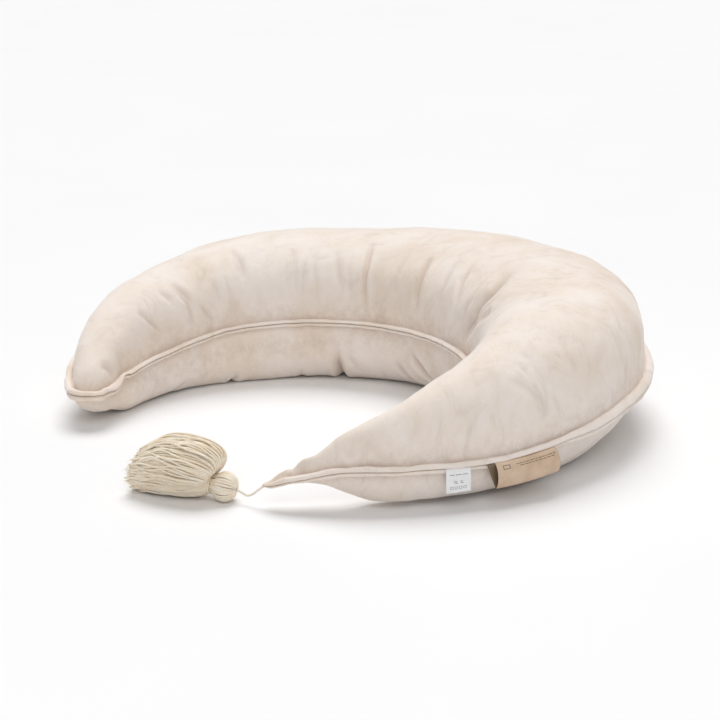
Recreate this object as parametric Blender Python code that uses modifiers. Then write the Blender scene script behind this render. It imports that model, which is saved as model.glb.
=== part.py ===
"""Half-moon nursing pillow with a self-flange, a concealed zip, two sewn-in labels and a tassel.

The pillow lies flat. The origin is on the floor, under the middle of the crescent, in the centre
of its flat underside. +Z is up, and the two arms curve round towards -Y, with the tasselled arm
on the +X side. Metres and, for angles, degrees.
"""

import math
from collections import namedtuple

import bmesh
import bpy
from mathutils import Matrix, Vector

# ---- Plan of the cover: two seam arcs -----------------------------------------------------------
OUTER_RADIUS = 0.313          # outer seam, about the outer arc's centre
INNER_RADIUS = 0.192          # inner seam, about the inner arc's centre
CENTRE_SHIFT = 0.085          # the inner arc's centre lies this much nearer the tips
FLANGE_WIDTH = 0.009          # flat stitched edge outside the seam, all round
TIP_TAIL = 0.009              # the flange runs this far past the end of the plain arm
TAIL_TAPER = 0.65             # share of its width that the flange loses along the flat tail

OUTER_CENTRE_Y = -(OUTER_RADIUS - CENTRE_SHIFT + INNER_RADIUS) / 2
INNER_CENTRE_Y = OUTER_CENTRE_Y - CENTRE_SHIFT

# ---- Height of the stuffing ---------------------------------------------------------------------
CROWN_HEIGHT = 0.093          # top panel above the seam, at the middle
CROWN_FULLNESS = 0.63         # lower = squarer shoulders
BELLY_DEPTH_GAIN = 1.11       # over 1 presses the underside flat on the floor
BELLY_FULLNESS = 0.76
FULL_BELLY_WIDTH = 0.030      # a narrower half-width than this also gets a shallower belly
GAIN_BLEND = 0.4              # share of an arm over which its crown gain comes in
LIFT_FROM = 0.4               # share of an arm from which its underside leaves the floor
MOST_LIFT = 0.8               # of the seam's height
STUFFING_FADE = 0.09          # share of an arm over which the stuffing thins out before the tail
TIP_FULLNESS = 0.0072         # extra height where the stuffing is packed against the tail's stitches
TIP_FULLEST = 0.943           # share of the tasselled arm
TIP_SPREAD = 0.018
TAIL_START = 0.957            # share from which the tasselled arm's cover is stitched flat
TAIL_FADE = 0.010

# ---- Cloth --------------------------------------------------------------------------------------
COVER_THICKNESS = 0.002       # velvet with its backing
LINING_THICKNESS = 0.0007
LINING_INSET = 0.005          # lining's surface inside the cover's, which leaves room for the zip
FILLING_INSET = 0.0072
LINING_END_WIDTH = 0.006      # the lining stops where its half-width falls below this
FILLING_END_WIDTH = 0.022
LINING_END = 0.004            # the lining's pointed ends reach this far past its last section
GAP = 0.0003                  # between cloth layers that lie together

# ---- The two arms -------------------------------------------------------------------------------
# Sweeps run from the middle to the tip. Heights are (share of the arm, height above the floor).
Arm = namedtuple("Arm", "side outer_sweep inner_sweep taper_power taper_round crown_gain "
                        "crown_power crown_round stuffed_share belly_lift outer_seam inner_seam")
TASSEL_ARM = Arm(
    side=1, outer_sweep=140.0, inner_sweep=132.3, taper_power=2.2, taper_round=0.89,
    crown_gain=1.10, crown_power=4.0, crown_round=1.2, stuffed_share=0.975, belly_lift=0.015,
    outer_seam=((0.0, 0.0740), (0.40, 0.0655), (0.70, 0.0430), (0.87, 0.0430), (0.96, 0.0305),
                (1.0, 0.0230)),
    inner_seam=((0.0, 0.0740), (0.15, 0.0725), (0.50, 0.0600), (0.80, 0.0400), (0.95, 0.0295),
                (1.0, 0.0230)))
PLAIN_ARM = Arm(
    side=-1, outer_sweep=149.4, inner_sweep=137.4, taper_power=11.0, taper_round=0.31,
    crown_gain=0.89, crown_power=3.7, crown_round=0.48, stuffed_share=1.0, belly_lift=0.004,
    outer_seam=((0.0, 0.0740), (0.45, 0.0740), (0.80, 0.0580), (1.0, 0.0430)),
    inner_seam=((0.0, 0.0740), (0.25, 0.0730), (0.52, 0.0680), (0.76, 0.0520), (1.0, 0.0430)))

# ---- Mesh density -------------------------------------------------------------------------------
COVER_ROWS = 28               # rows per arm
COVER_COLUMNS = 12            # facets over the crown
LINING_ROWS = 14
LINING_COLUMNS = 8
ROW_CROWDING = 0.6            # 0 spaces the rows evenly, 1 crowds them towards the tips
WELD = 0.00002                # points closer together than this are one point

# ---- Zip, at the back just below the flange -----------------------------------------------------
ZIP_START = -6.0              # closed end, as an angle from the middle of the back
ZIP_SWEEP = 56.0              # towards the plain arm
SLIT_TOP = 0.008              # below the seam
SLIT_BOTTOM = 0.014
SLIT_SLACK = 0.3              # degrees of open slit past each end of the zip
TAPE_THICKNESS = 0.0004
TAPE_DEPTH = 0.0035           # tapes' outer face, inside the cover's surface
TAPE_TOP = 0.004
TAPE_BOTTOM = 0.0148
COIL_OUT = -0.0003            # coil's outer and inner faces, from the cover's surface
COIL_IN = -0.0030
COIL_HEIGHT = 0.0018
ZIP_PARTING = 0.0008          # gap between the two coils, which the slider's post runs in
SLIDER_LENGTH = 0.009
SLIDER_HEIGHT = 0.0070
SLIDER_PLATE = 0.0010
SLIDER_BACK = 0.0006
SLIDER_STANDOFF = 0.00035
SLIDER_BACK_DEPTH = 0.0042
POST_THICKNESS = 0.0004
BAIL_RADIUS = 0.0024          # of the bail's arch, at the middle of its wire
BAIL_WIRE = 0.0009
PULL_BAR_OUT = 0.0010         # pull's bar, from the slider's plate
PULL_LENGTH = 0.024
PULL_WIDTH = 0.0060
PULL_THICKNESS = 0.0010
PULL_WINDOW = (0.0034, 0.0042)
PULL_BAR = 0.0009             # height of the bar that the bail holds
PULL_TAPER = 0.8              # width of its free end
STOP_LENGTH = 0.0022
STOP_CLEARANCE = 0.0006

# ---- Labels, sewn into the outer seam of the tasselled arm --------------------------------------
LABEL_STANDOFF = 0.0009       # from the flange's edge
CARE_LABEL = dict(share=0.7425, width=0.025, drop=0.024, thickness=0.0006)
LOOP_LABEL = dict(start=0.602, end=0.692, drop=0.024, thickness=0.0010)
LOOP_PROFILE = (              # (outwards, share of the drop), from the inner leg round to the outer
    (0.0006, -0.025), (-0.0010, -0.30), (-0.0012, -0.62), (-0.0002, -0.88), (0.0022, -0.985),
    (0.0044, -0.90), (0.0064, -0.66), (0.0062, -0.36), (0.0028, -0.025))

# ---- Cord and tassel ----------------------------------------------------------------------------
CORD_DIAMETER = 0.0025
CORD_ROUTE = (                # from the tail of the cover to the tassel's head
    (0.1710, -0.4385, 0.0225), (0.1682, -0.4428, 0.0188), (0.1645, -0.4454, 0.0148),
    (0.1600, -0.4472, 0.0114), (0.1549, -0.4489, 0.0099), (0.1494, -0.4508, 0.0117),
    (0.1447, -0.4533, 0.0137))
TASSEL_HEAD_CENTRE = Vector((0.1340, -0.4602, 0.0152))
TASSEL_HEADING = 213.0        # the way the skirt points, from +X
TASSEL_TILT = 7.0             # the skirt's axis rises this much, so that it lies on its rim
HEAD_RADIUS = 0.0148
HEAD_HALF_LENGTH = 0.0120
NECK_AT = 0.0150              # from the head's centre, along the axis
NECK_RADIUS = 0.0094
BINDING_RADIUS = 0.0016
SKIRT_START = 0.0172
SKIRT_LOWER = (               # (along the axis, out from it) below the axis and beside it
    (0.0172, 0.0098), (0.0190, 0.0125), (0.0240, 0.0158), (0.0330, 0.0185), (0.0473, 0.0204),
    (0.0774, 0.0243), (0.1032, 0.0272))
SKIRT_UPPER = (               # and above it, where the yarns bulge up and back over the head
    (0.0172, 0.0098), (0.0176, 0.0160), (0.0085, 0.0240), (0.0080, 0.0345), (0.0220, 0.0415),
    (0.0560, 0.0385), (0.0930, 0.0215))
SKIRT_END = 0.098             # middle of the cut ends
SKIRT_SIDES = 24

# ---- Colours ------------------------------------------------------------------------------------
COLOURS = {
    "velvet": ((0.72, 0.60, 0.51), 0.85, 0.0),
    "lining_cotton": ((0.80, 0.78, 0.73), 0.9, 0.0),
    "fibre": ((0.85, 0.85, 0.83), 1.0, 0.0),
    "care_satin": ((0.86, 0.86, 0.86), 0.45, 0.0),
    "label_leather": ((0.47, 0.34, 0.21), 0.5, 0.0),
    "tassel_cotton": ((0.66, 0.55, 0.40), 0.9, 0.0),
    "zip_tape": ((0.70, 0.60, 0.50), 0.8, 0.0),
    "zip_nylon": ((0.66, 0.56, 0.46), 0.4, 0.0),
    "zip_metal": ((0.62, 0.60, 0.56), 0.3, 1.0),
}

Section = namedtuple("Section", "centre outward half_width seam_in seam_out crown belly lift")


# ---- Small helpers ------------------------------------------------------------------------------
def start_scene():
    """Empty the scene and make the collection that holds the pillow."""
    for old in list(bpy.data.objects):
        bpy.data.objects.remove(old, do_unlink=True)
    home = bpy.data.collections.new("nursing_pillow")
    bpy.context.scene.collection.children.link(home)
    return home


def make_materials():
    """One Principled material for each kind of stuff."""
    made = {}
    for name, (colour, roughness, metallic) in COLOURS.items():
        material = bpy.data.materials.new(name)
        material.use_nodes = True
        shader = material.node_tree.nodes["Principled BSDF"]
        shader.inputs["Base Color"].default_value = (*colour, 1.0)
        shader.inputs["Roughness"].default_value = roughness
        shader.inputs["Metallic"].default_value = metallic
        made[name] = material
    return made


HOME = start_scene()
MATERIALS = make_materials()


def add_object(name, mesh, material, parent=None, matrix=None):
    """Link a mesh as a named, smooth-shaded piece of the pillow."""
    piece = bpy.data.objects.new(name, mesh)
    HOME.objects.link(piece)
    mesh.materials.append(MATERIALS[material])
    mesh.shade_smooth()
    if parent:
        piece.parent = parent
    if matrix:
        piece.matrix_local = matrix
    return piece


def add_empty(name, matrix):
    """An empty that carries the pieces of one moving body."""
    empty = bpy.data.objects.new(name, None)
    HOME.objects.link(empty)
    empty.matrix_world = matrix
    return empty


def solidify(piece, thickness, offset=-1.0):
    """Give an open surface its thickness."""
    shell = piece.modifiers.new("thickness", "SOLIDIFY")
    shell.thickness = thickness
    shell.offset = offset
    return shell


def bevel(piece, width, segments=1):
    """Round a piece's edges."""
    edge = piece.modifiers.new("edges", "BEVEL")
    edge.width = width
    edge.segments = segments
    edge.limit_method = "ANGLE"
    edge.angle_limit = math.radians(40)
    return edge


def key_slope(keys, index):
    """The slope at a key: level at a turning point or beside a level stretch."""
    if index in (0, len(keys) - 1):
        return 0.0
    (x0, y0), (x1, y1), (x2, y2) = keys[index - 1:index + 2]
    before = (y1 - y0) / (x1 - x0)
    after = (y2 - y1) / (x2 - x1)
    return 0.0 if before * after <= 0 else 2 * before * after / (before + after)


def smooth_between(keys, share):
    """Ease from one (share, value) key to the next, without overshoot."""
    index = max(i for i, key in enumerate(keys[:-1]) if key[0] <= share)
    (x0, y0), (x1, y1) = keys[index:index + 2]
    span = x1 - x0
    t = min(1.0, (share - x0) / span)
    return ((2 * t ** 3 - 3 * t ** 2 + 1) * y0 + (t ** 3 - 2 * t ** 2 + t) * span * key_slope(keys, index)
            + (3 * t ** 2 - 2 * t ** 3) * y1 + (t ** 3 - t ** 2) * span * key_slope(keys, index + 1))


def polar(centre_y, radius, angle):
    """A plan point on an arc, the angle measured from +Y towards +X."""
    return Vector((radius * math.sin(angle), centre_y + radius * math.cos(angle)))


# ---- The crescent -------------------------------------------------------------------------------
def section(arm, share):
    """The crescent's cross-section at a share of the way from its middle to an arm's tip."""
    outer = polar(OUTER_CENTRE_Y, OUTER_RADIUS, arm.side * share * math.radians(arm.outer_sweep))
    inner = polar(INNER_CENTRE_Y, INNER_RADIUS, arm.side * share * math.radians(arm.inner_sweep))
    across = (outer - inner) / 2
    taper = max(0.0, 1 - share ** arm.taper_power) ** arm.taper_round
    half_width = across.length * taper
    stuffed = 1.0
    tip = 0.0
    if arm.stuffed_share < 1.0:
        stuffed = min(1.0, max(0.0, (arm.stuffed_share - share) / STUFFING_FADE))
        tip = TIP_FULLNESS * math.exp(-((share - TIP_FULLEST) / TIP_SPREAD) ** 2)
        tip *= min(1.0, max(0.0, (TAIL_START - share) / TAIL_FADE))
    seam_out = smooth_between(arm.outer_seam, share)
    seam_in = smooth_between(arm.inner_seam, share)
    blend = min(1.0, share / GAIN_BLEND)
    gain = 1 + (arm.crown_gain - 1) * blend * blend * (3 - 2 * blend)
    crown = CROWN_HEIGHT * gain * max(0.0, 1 - share ** arm.crown_power) ** arm.crown_round
    lift = arm.belly_lift * max(0.0, (share - LIFT_FROM) / (1 - LIFT_FROM)) ** 2
    lift = min(lift, MOST_LIFT * min(seam_in, seam_out))
    belly = BELLY_DEPTH_GAIN * min(1.0, half_width / FULL_BELLY_WIDTH) * math.sqrt(stuffed)
    return Section((outer + inner) / 2, across.normalized(), half_width, seam_in, seam_out,
                   crown * math.sqrt(stuffed) + tip, belly, lift)


def section_point(cut, angle, side, inset, rim):
    """A point of one panel, from the inner seam (0) over the middle (90) to the outer one (180)."""
    reach = -math.cos(angle)
    bulge = max(0.0, math.sin(angle))
    width = max(0.0, cut.half_width - inset)
    plan = cut.centre + cut.outward * (width * reach)
    seam = cut.seam_in * (1 - reach) / 2 + cut.seam_out * (1 + reach) / 2
    slimmer = min(1.0, width / max(cut.half_width, 1e-6))
    if side > 0:
        rise = max(0.0, cut.crown - max(0.0, inset - rim)) * slimmer
        return Vector((*plan, seam + rim + rise * bulge ** CROWN_FULLNESS))
    drop = (seam - cut.lift) * cut.belly * slimmer * bulge ** BELLY_FULLNESS
    floor = cut.lift + inset
    return Vector((*plan, max(seam - rim - drop, min(floor, seam - rim))))


def flange_point(cut, edge, side, rim, reach):
    """A point of the flange's outer edge, beside one of the two seams."""
    plan = cut.centre + cut.outward * (edge * (cut.half_width + reach))
    seam = cut.seam_in if edge < 0 else cut.seam_out
    return Vector((*plan, seam + side * rim))


def arm_shares(rows):
    """Rows from the middle to the tip, closer together towards the tip."""
    steps = [row / rows for row in range(rows + 1)]
    return [ROW_CROWDING * math.sin(step * math.pi / 2) + (1 - ROW_CROWDING) * step
            for step in steps]


def crescent_rows(rows, slit_ends=()):
    """(arm, share) for each row, from the plain arm's tip round to the tasselled arm's."""
    shares = arm_shares(rows)
    plain = shares[1:]
    for end in slit_ends:
        nearest = min(plain, key=lambda share: abs(share - end))
        plain[plain.index(nearest)] = end
    return ([(PLAIN_ARM, share) for share in reversed(plain)]
            + [(TASSEL_ARM, share) for share in shares])


def slit_shares():
    """The shares of the plain arm at which the slit for the zip starts and ends."""
    start = -ZIP_START - SLIT_SLACK
    end = -ZIP_START + ZIP_SWEEP + SLIT_SLACK
    return start / PLAIN_ARM.outer_sweep, end / PLAIN_ARM.outer_sweep


def flange_reach(arm, share):
    """The flange's width, which narrows along the flat tail of the tasselled arm."""
    if share <= arm.stuffed_share:
        return FLANGE_WIDTH
    along = (share - arm.stuffed_share) / (1 - arm.stuffed_share)
    return FLANGE_WIDTH * (1 - TAIL_TAPER * along)


def surface_mesh(name, grid, skipped=()):
    """An open surface over a grid of points, with merged ends and no slivers."""
    bm = bmesh.new()
    rows = [[bm.verts.new(point) for point in row] for row in grid]
    for r in range(len(rows) - 1):
        for c in range(len(rows[0]) - 1):
            if (r, c) in skipped:
                continue
            bm.faces.new((rows[r][c], rows[r + 1][c], rows[r + 1][c + 1], rows[r][c + 1]))
    bmesh.ops.remove_doubles(bm, verts=bm.verts[:], dist=WELD)
    bmesh.ops.delete(bm, geom=[v for v in bm.verts if not v.link_faces], context="VERTS")
    mesh = bpy.data.meshes.new(name)
    bm.to_mesh(mesh)
    bm.free()
    return mesh


def belly_angle(drop):
    """The section angle, from a seam, at which the bottom panel has dropped this far."""
    depth = PLAIN_ARM.outer_seam[0][1] * BELLY_DEPTH_GAIN
    return math.asin(((drop - COVER_THICKNESS) / depth) ** (1 / BELLY_FULLNESS))


def panel_angles(side):
    """Section angles across a cover panel; the bottom one has a facet row for the zip's slit."""
    even = [math.pi * column / COVER_COLUMNS for column in range(COVER_COLUMNS + 1)]
    if side > 0:
        return even
    slit = [math.pi - belly_angle(drop) for drop in (SLIT_BOTTOM, SLIT_TOP)]
    return even[:-1] + slit + [math.pi]


def plain_tip_cap():
    """Rows that carry the flange round the end of the plain arm."""
    tip = section(PLAIN_ARM, 1.0)
    away = Vector((-tip.outward.y, tip.outward.x))
    before = section(PLAIN_ARM, 0.95)
    if away.dot(tip.centre - before.centre) < 0:
        away.negate()
    rows = []
    for turn in (30, 60, 90):
        reach = TIP_TAIL * math.cos(math.radians(turn))
        shift = away * (TIP_TAIL * math.sin(math.radians(turn)))
        rows.append((tip._replace(centre=tip.centre + shift), max(reach, GAP)))
    return rows


def cover_panel(name, side):
    """One velvet panel: body, and its half of the flange, as one open sheet with thickness."""
    rim = GAP / 2 + COVER_THICKNESS
    angles = panel_angles(side)
    cuts = plain_tip_cap()[::-1]
    for arm, share in crescent_rows(COVER_ROWS, slit_shares()):
        cuts.append((section(arm, share), flange_reach(arm, share)))
    grid = []
    for cut, reach in cuts:
        row = [flange_point(cut, -1, side, rim, reach)]
        row += [section_point(cut, angle, side, 0.0, rim) for angle in angles]
        row.append(flange_point(cut, 1, side, rim, reach))
        grid.append(row)
    skipped = set()
    if side < 0:
        column = len(angles) - 2
        for row, (cut, _) in enumerate(cuts[:-1]):
            if zip_holds(cut) and zip_holds(cuts[row + 1][0]):
                skipped.add((row, column))
    mesh = surface_mesh(name, grid, skipped)
    piece = add_object(name, mesh, "velvet")
    if side < 0:
        mesh.flip_normals()
    solidify(piece, COVER_THICKNESS)
    return piece


def zip_angle(cut):
    """Where a section's outer seam lies, as an angle about the outer arc's centre."""
    outer = cut.centre + cut.outward * cut.half_width
    return math.degrees(math.atan2(outer.x, outer.y - OUTER_CENTRE_Y))


def zip_holds(cut):
    """True where the bottom panel is open for the zip."""
    rounding = 1e-3
    far = ZIP_START - ZIP_SWEEP - SLIT_SLACK - rounding
    return far < zip_angle(cut) < ZIP_START + SLIT_SLACK + rounding


def lining_panel(name, side):
    """One half of the cotton case inside the cover."""
    rim = GAP / 2 + LINING_THICKNESS
    angles = [math.pi * column / LINING_COLUMNS for column in range(LINING_COLUMNS + 1)]
    grid = []
    for cut in inner_cuts(LINING_INSET + LINING_END_WIDTH):
        grid.append([section_point(cut, angle, side, LINING_INSET, rim) for angle in angles])
    mesh = surface_mesh(name, close_ends(grid))
    piece = add_object(name, mesh, "lining_cotton")
    if side < 0:
        mesh.flip_normals()
    solidify(piece, LINING_THICKNESS)
    return piece


def inner_cuts(width):
    """The sections whose half-width is more than this."""
    cuts = [section(arm, share) for arm, share in crescent_rows(LINING_ROWS)]
    return [cut for cut in cuts if cut.half_width > width]


def close_ends(grid):
    """Draw a shell's two open ends together on its seam."""
    ends = []
    for row, neighbour in ((grid[0], grid[1]), (grid[-1], grid[-2])):
        middle = (row[0] + row[-1]) / 2
        ahead = middle - (neighbour[0] + neighbour[-1]) / 2
        ahead.z = 0.0
        ends.append([middle + ahead.normalized() * LINING_END] * len(row))
    return [ends[0]] + grid + [ends[1]]


def filling():
    """The fibre filling, one closed body inside the lining."""
    angles = [math.pi * column / LINING_COLUMNS for column in range(LINING_COLUMNS + 1)]
    bm = bmesh.new()
    rings = []
    for cut in inner_cuts(FILLING_INSET + FILLING_END_WIDTH):
        over = [section_point(cut, angle, 1, FILLING_INSET, GAP) for angle in angles]
        under = [section_point(cut, angle, -1, FILLING_INSET, GAP) for angle in reversed(angles)]
        rings.append([bm.verts.new(point) for point in over + under])
    count = len(rings[0])
    for ring, after in zip(rings, rings[1:]):
        for c in range(count):
            d = (c + 1) % count
            bm.faces.new((ring[c], ring[d], after[d], after[c]))
    bm.faces.new(rings[0])
    bm.faces.new(rings[-1])
    bmesh.ops.recalc_face_normals(bm, faces=bm.faces[:])
    mesh = bpy.data.meshes.new("fibre_filling")
    bm.to_mesh(mesh)
    bm.free()
    return add_object("fibre_filling", mesh, "fibre")


# ---- Zip ----------------------------------------------------------------------------------------
ZIP_SEAM = PLAIN_ARM.outer_seam[0][1]
ZIP_MIDDLE = ZIP_SEAM - (SLIT_TOP + SLIT_BOTTOM) / 2


def zip_matrix(angle):
    """A frame at the outer arc's centre whose +X points at this angle of the back."""
    turn = math.radians(90.0 - angle)
    return Matrix.Translation((0.0, OUTER_CENTRE_Y, 0.0)) @ Matrix.Rotation(turn, 4, "Z")


def zip_ribbon(name, material, start, sweep, top, bottom, outside, thickness):
    """A band that follows the zip's arc: a short upright profile turned about the arc's centre."""
    mesh = bpy.data.meshes.new(name)
    radius = OUTER_RADIUS + outside
    mesh.from_pydata([(radius, 0.0, top), (radius, 0.0, bottom)], [(0, 1)], [])
    piece = add_object(name, mesh, material, matrix=zip_matrix(start))
    turned = piece.modifiers.new("arc", "SCREW")
    turned.angle = math.radians(sweep)
    turned.steps = 20
    turned.render_steps = 20
    turned.merge_threshold = 0.0001
    solidify(piece, thickness)
    return piece


def box_mesh(name, size, centre):
    """A box as a mesh, made from a unit cube."""
    bm = bmesh.new()
    bmesh.ops.create_cube(bm, size=1.0)
    bmesh.ops.scale(bm, vec=Vector(size), verts=bm.verts[:])
    bmesh.ops.translate(bm, vec=Vector(centre), verts=bm.verts[:])
    mesh = bpy.data.meshes.new(name)
    bm.to_mesh(mesh)
    bm.free()
    return mesh


def zip_slider(carrier):
    """The slider: an H in section, its plates before and behind the coils, with a bail."""
    half = SLIDER_HEIGHT / 2
    post = POST_THICKNESS / 2
    front_in = OUTER_RADIUS + SLIDER_STANDOFF
    front_out = front_in + SLIDER_PLATE
    back_out = OUTER_RADIUS - SLIDER_BACK_DEPTH
    back_in = back_out - SLIDER_BACK
    columns = (front_out, front_in, back_out, back_in)
    levels = (half, post, -post, -half)
    bm = bmesh.new()
    grid = [[bm.verts.new((r, -SLIDER_LENGTH / 2, ZIP_MIDDLE + z)) for z in levels]
            for r in columns]
    solid = ((0, 0), (0, 1), (0, 2), (1, 1), (2, 0), (2, 1), (2, 2))
    faces = [bm.faces.new((grid[c][r], grid[c + 1][r], grid[c + 1][r + 1], grid[c][r + 1]))
             for c, r in solid]
    grown = bmesh.ops.extrude_face_region(bm, geom=faces)
    moved = [v for v in grown["geom"] if isinstance(v, bmesh.types.BMVert)]
    bmesh.ops.translate(bm, vec=(0.0, SLIDER_LENGTH, 0.0), verts=moved)
    bmesh.ops.recalc_face_normals(bm, faces=bm.faces[:])
    mesh = bpy.data.meshes.new("zip_slider")
    bm.to_mesh(mesh)
    bm.free()
    body = add_object("zip_slider", mesh, "zip_metal", parent=carrier)
    join(body, zip_bail(front_out))
    return body


def zip_bail(plate):
    """The small arch on the slider's face that holds the pull."""
    curve = bpy.data.curves.new("zip_bail", "CURVE")
    curve.dimensions = "3D"
    curve.bevel_depth = BAIL_WIRE / 2
    curve.bevel_resolution = 2
    curve.render_resolution_u = 0
    curve.use_fill_caps = True
    spline = curve.splines.new("POLY")
    angles = [math.radians(90 - 180 * step / 8) for step in range(9)]
    sunk = 0.0005
    points = [(plate - sunk, BAIL_RADIUS)]
    points += [(plate + BAIL_RADIUS * math.cos(a), BAIL_RADIUS * math.sin(a)) for a in angles]
    points += [(plate - sunk, -BAIL_RADIUS)]
    spline.points.add(len(points) - 1)
    for knot, (r, z) in zip(spline.points, points):
        knot.co = (r, 0.0, ZIP_MIDDLE + z, 1.0)
    wire = bpy.data.objects.new("zip_bail", curve)
    HOME.objects.link(wire)
    return wire


def join(body, curve_object):
    """Union a curve's solid into a piece, and remove the curve."""
    bpy.context.view_layer.update()
    graph = bpy.context.evaluated_depsgraph_get()
    mesh = bpy.data.meshes.new_from_object(curve_object.evaluated_get(graph))
    bm = bmesh.new()
    bm.from_mesh(mesh)
    bmesh.ops.remove_doubles(bm, verts=bm.verts[:], dist=1e-6)
    bmesh.ops.recalc_face_normals(bm, faces=bm.faces[:])
    bm.to_mesh(mesh)
    bm.free()
    tool = bpy.data.objects.new(curve_object.name + "_tool", mesh)
    TOOLS.objects.link(tool)
    tool.parent = body.parent
    tool.matrix_local = curve_object.matrix_world.copy()
    tool.hide_render = True
    tool.display_type = "WIRE"
    bpy.data.objects.remove(curve_object, do_unlink=True)
    union = body.modifiers.new("bail", "BOOLEAN")
    union.operation = "UNION"
    union.solver = "EXACT"
    union.object = tool


def zip_pull(carrier):
    """The pull tab: a small plate hung by the bar over its window."""
    bar_at = OUTER_RADIUS + SLIDER_STANDOFF + SLIDER_PLATE + PULL_BAR_OUT
    half_wide = PULL_WIDTH / 2
    window_wide = PULL_WINDOW[0] / 2
    half_end = half_wide * PULL_TAPER
    sill = -PULL_BAR / 2 - PULL_WINDOW[1]
    outline = [(-half_wide, PULL_BAR / 2), (half_wide, PULL_BAR / 2), (half_end, -PULL_LENGTH),
               (-half_end, -PULL_LENGTH)]
    window = [(-window_wide, -PULL_BAR / 2), (-window_wide, sill), (window_wide, sill),
              (window_wide, -PULL_BAR / 2)]
    bm = bmesh.new()
    outer = [bm.verts.new((0.0, y, z)) for y, z in outline]
    inner = [bm.verts.new((0.0, y, z)) for y, z in window]
    edges = []
    for loop in (outer, inner):
        edges += [bm.edges.new((a, b)) for a, b in zip(loop, loop[1:] + loop[:1])]
    bmesh.ops.triangle_fill(bm, edges=edges, use_beauty=True)
    bmesh.ops.recalc_face_normals(bm, faces=bm.faces[:])
    mesh = bpy.data.meshes.new("zip_pull")
    bm.to_mesh(mesh)
    bm.free()
    place = Matrix.Translation((bar_at, 0.0, ZIP_MIDDLE))
    piece = add_object("zip_pull", mesh, "zip_metal", parent=carrier, matrix=place)
    solidify(piece, PULL_THICKNESS, offset=0.0)
    return piece


def zip_stop(name, angle):
    """A stop clamped across the end of the coils."""
    depth = COIL_OUT - COIL_IN
    height = 2 * COIL_HEIGHT + ZIP_PARTING
    centre = (OUTER_RADIUS + (COIL_OUT + COIL_IN) / 2, 0.0, ZIP_MIDDLE)
    mesh = box_mesh(name, (depth, STOP_LENGTH, height), centre)
    piece = add_object(name, mesh, "zip_metal", matrix=zip_matrix(angle))
    bevel(piece, 0.0003)
    return piece


def build_zip():
    """Tapes, coils, stops, and the slider with its pull."""
    to_degrees = math.degrees(1 / OUTER_RADIUS)
    half_part = ZIP_PARTING / 2
    for name, top, bottom in (("upper", ZIP_SEAM - TAPE_TOP, ZIP_MIDDLE + half_part),
                              ("lower", ZIP_MIDDLE - half_part, ZIP_SEAM - TAPE_BOTTOM)):
        zip_ribbon("zip_tape_" + name, "zip_tape", ZIP_START, ZIP_SWEEP, top, bottom,
                   -TAPE_DEPTH, TAPE_THICKNESS)
    short = (STOP_LENGTH + STOP_CLEARANCE) * to_degrees
    for name, top in (("upper", ZIP_MIDDLE + half_part + COIL_HEIGHT),
                      ("lower", ZIP_MIDDLE - half_part)):
        zip_ribbon("zip_coil_" + name, "zip_nylon", ZIP_START - short, ZIP_SWEEP - 2 * short,
                   top, top - COIL_HEIGHT, COIL_OUT, COIL_OUT - COIL_IN)
    inset = STOP_LENGTH / 2 * to_degrees
    zip_stop("zip_top_stop", ZIP_START - inset)
    zip_stop("zip_bottom_stop", ZIP_START - ZIP_SWEEP + inset)
    carrier = add_empty("zip_slider_carrier", zip_matrix(slider_rest_angle()))
    zip_slider(carrier)
    zip_pull(carrier)


def slider_rest_angle():
    """The closed slider's place, just inside the top stop."""
    clear = STOP_LENGTH + STOP_CLEARANCE + SLIDER_LENGTH / 2
    return ZIP_START - math.degrees(clear / OUTER_RADIUS)


# ---- Labels -------------------------------------------------------------------------------------
def flange_edge(share):
    """The outer edge of the flange on the tasselled arm, at the height of the seam."""
    cut = section(TASSEL_ARM, share)
    plan = cut.centre + cut.outward * (cut.half_width + FLANGE_WIDTH)
    return Vector((*plan, cut.seam_out))


def edge_frame(share):
    """A frame on the flange's edge: +X along it towards the tip, +Y level and outwards."""
    step = 0.01
    along = (flange_edge(share + step) - flange_edge(share - step)).normalized()
    outward = Vector((-along.y, along.x, 0.0)).normalized()
    frame = Matrix((along, outward, along.cross(outward))).transposed().to_4x4()
    frame.translation = flange_edge(share) + outward * LABEL_STANDOFF
    return frame


def care_label():
    """The white satin label, folded double and hanging from the seam."""
    size = (CARE_LABEL["width"], CARE_LABEL["thickness"], CARE_LABEL["drop"])
    centre = (0.0, CARE_LABEL["thickness"] / 2, -CARE_LABEL["drop"] / 2)
    mesh = box_mesh("care_label", size, centre)
    piece = add_object("care_label", mesh, "care_satin", matrix=edge_frame(CARE_LABEL["share"]))
    bevel(piece, 0.0002)
    return piece


def label_loop():
    """The tan band, folded into a loop whose two ends are sewn into the seam."""
    middle = (LOOP_LABEL["start"] + LOOP_LABEL["end"]) / 2
    frame = edge_frame(middle)
    drop = LOOP_LABEL["drop"]
    profile = [(out, share * drop) for out, share in LOOP_PROFILE]
    rows = 9
    grid = []
    for row in range(rows):
        share = LOOP_LABEL["start"] + (LOOP_LABEL["end"] - LOOP_LABEL["start"]) * row / (rows - 1)
        local = frame.inverted() @ edge_frame(share)
        grid.append([local @ Vector((0.0, out, up)) for out, up in profile])
    mesh = surface_mesh("label_loop", grid)
    piece = add_object("label_loop", mesh, "label_leather", matrix=frame)
    solidify(piece, LOOP_LABEL["thickness"], offset=0.0)
    return piece


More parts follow.
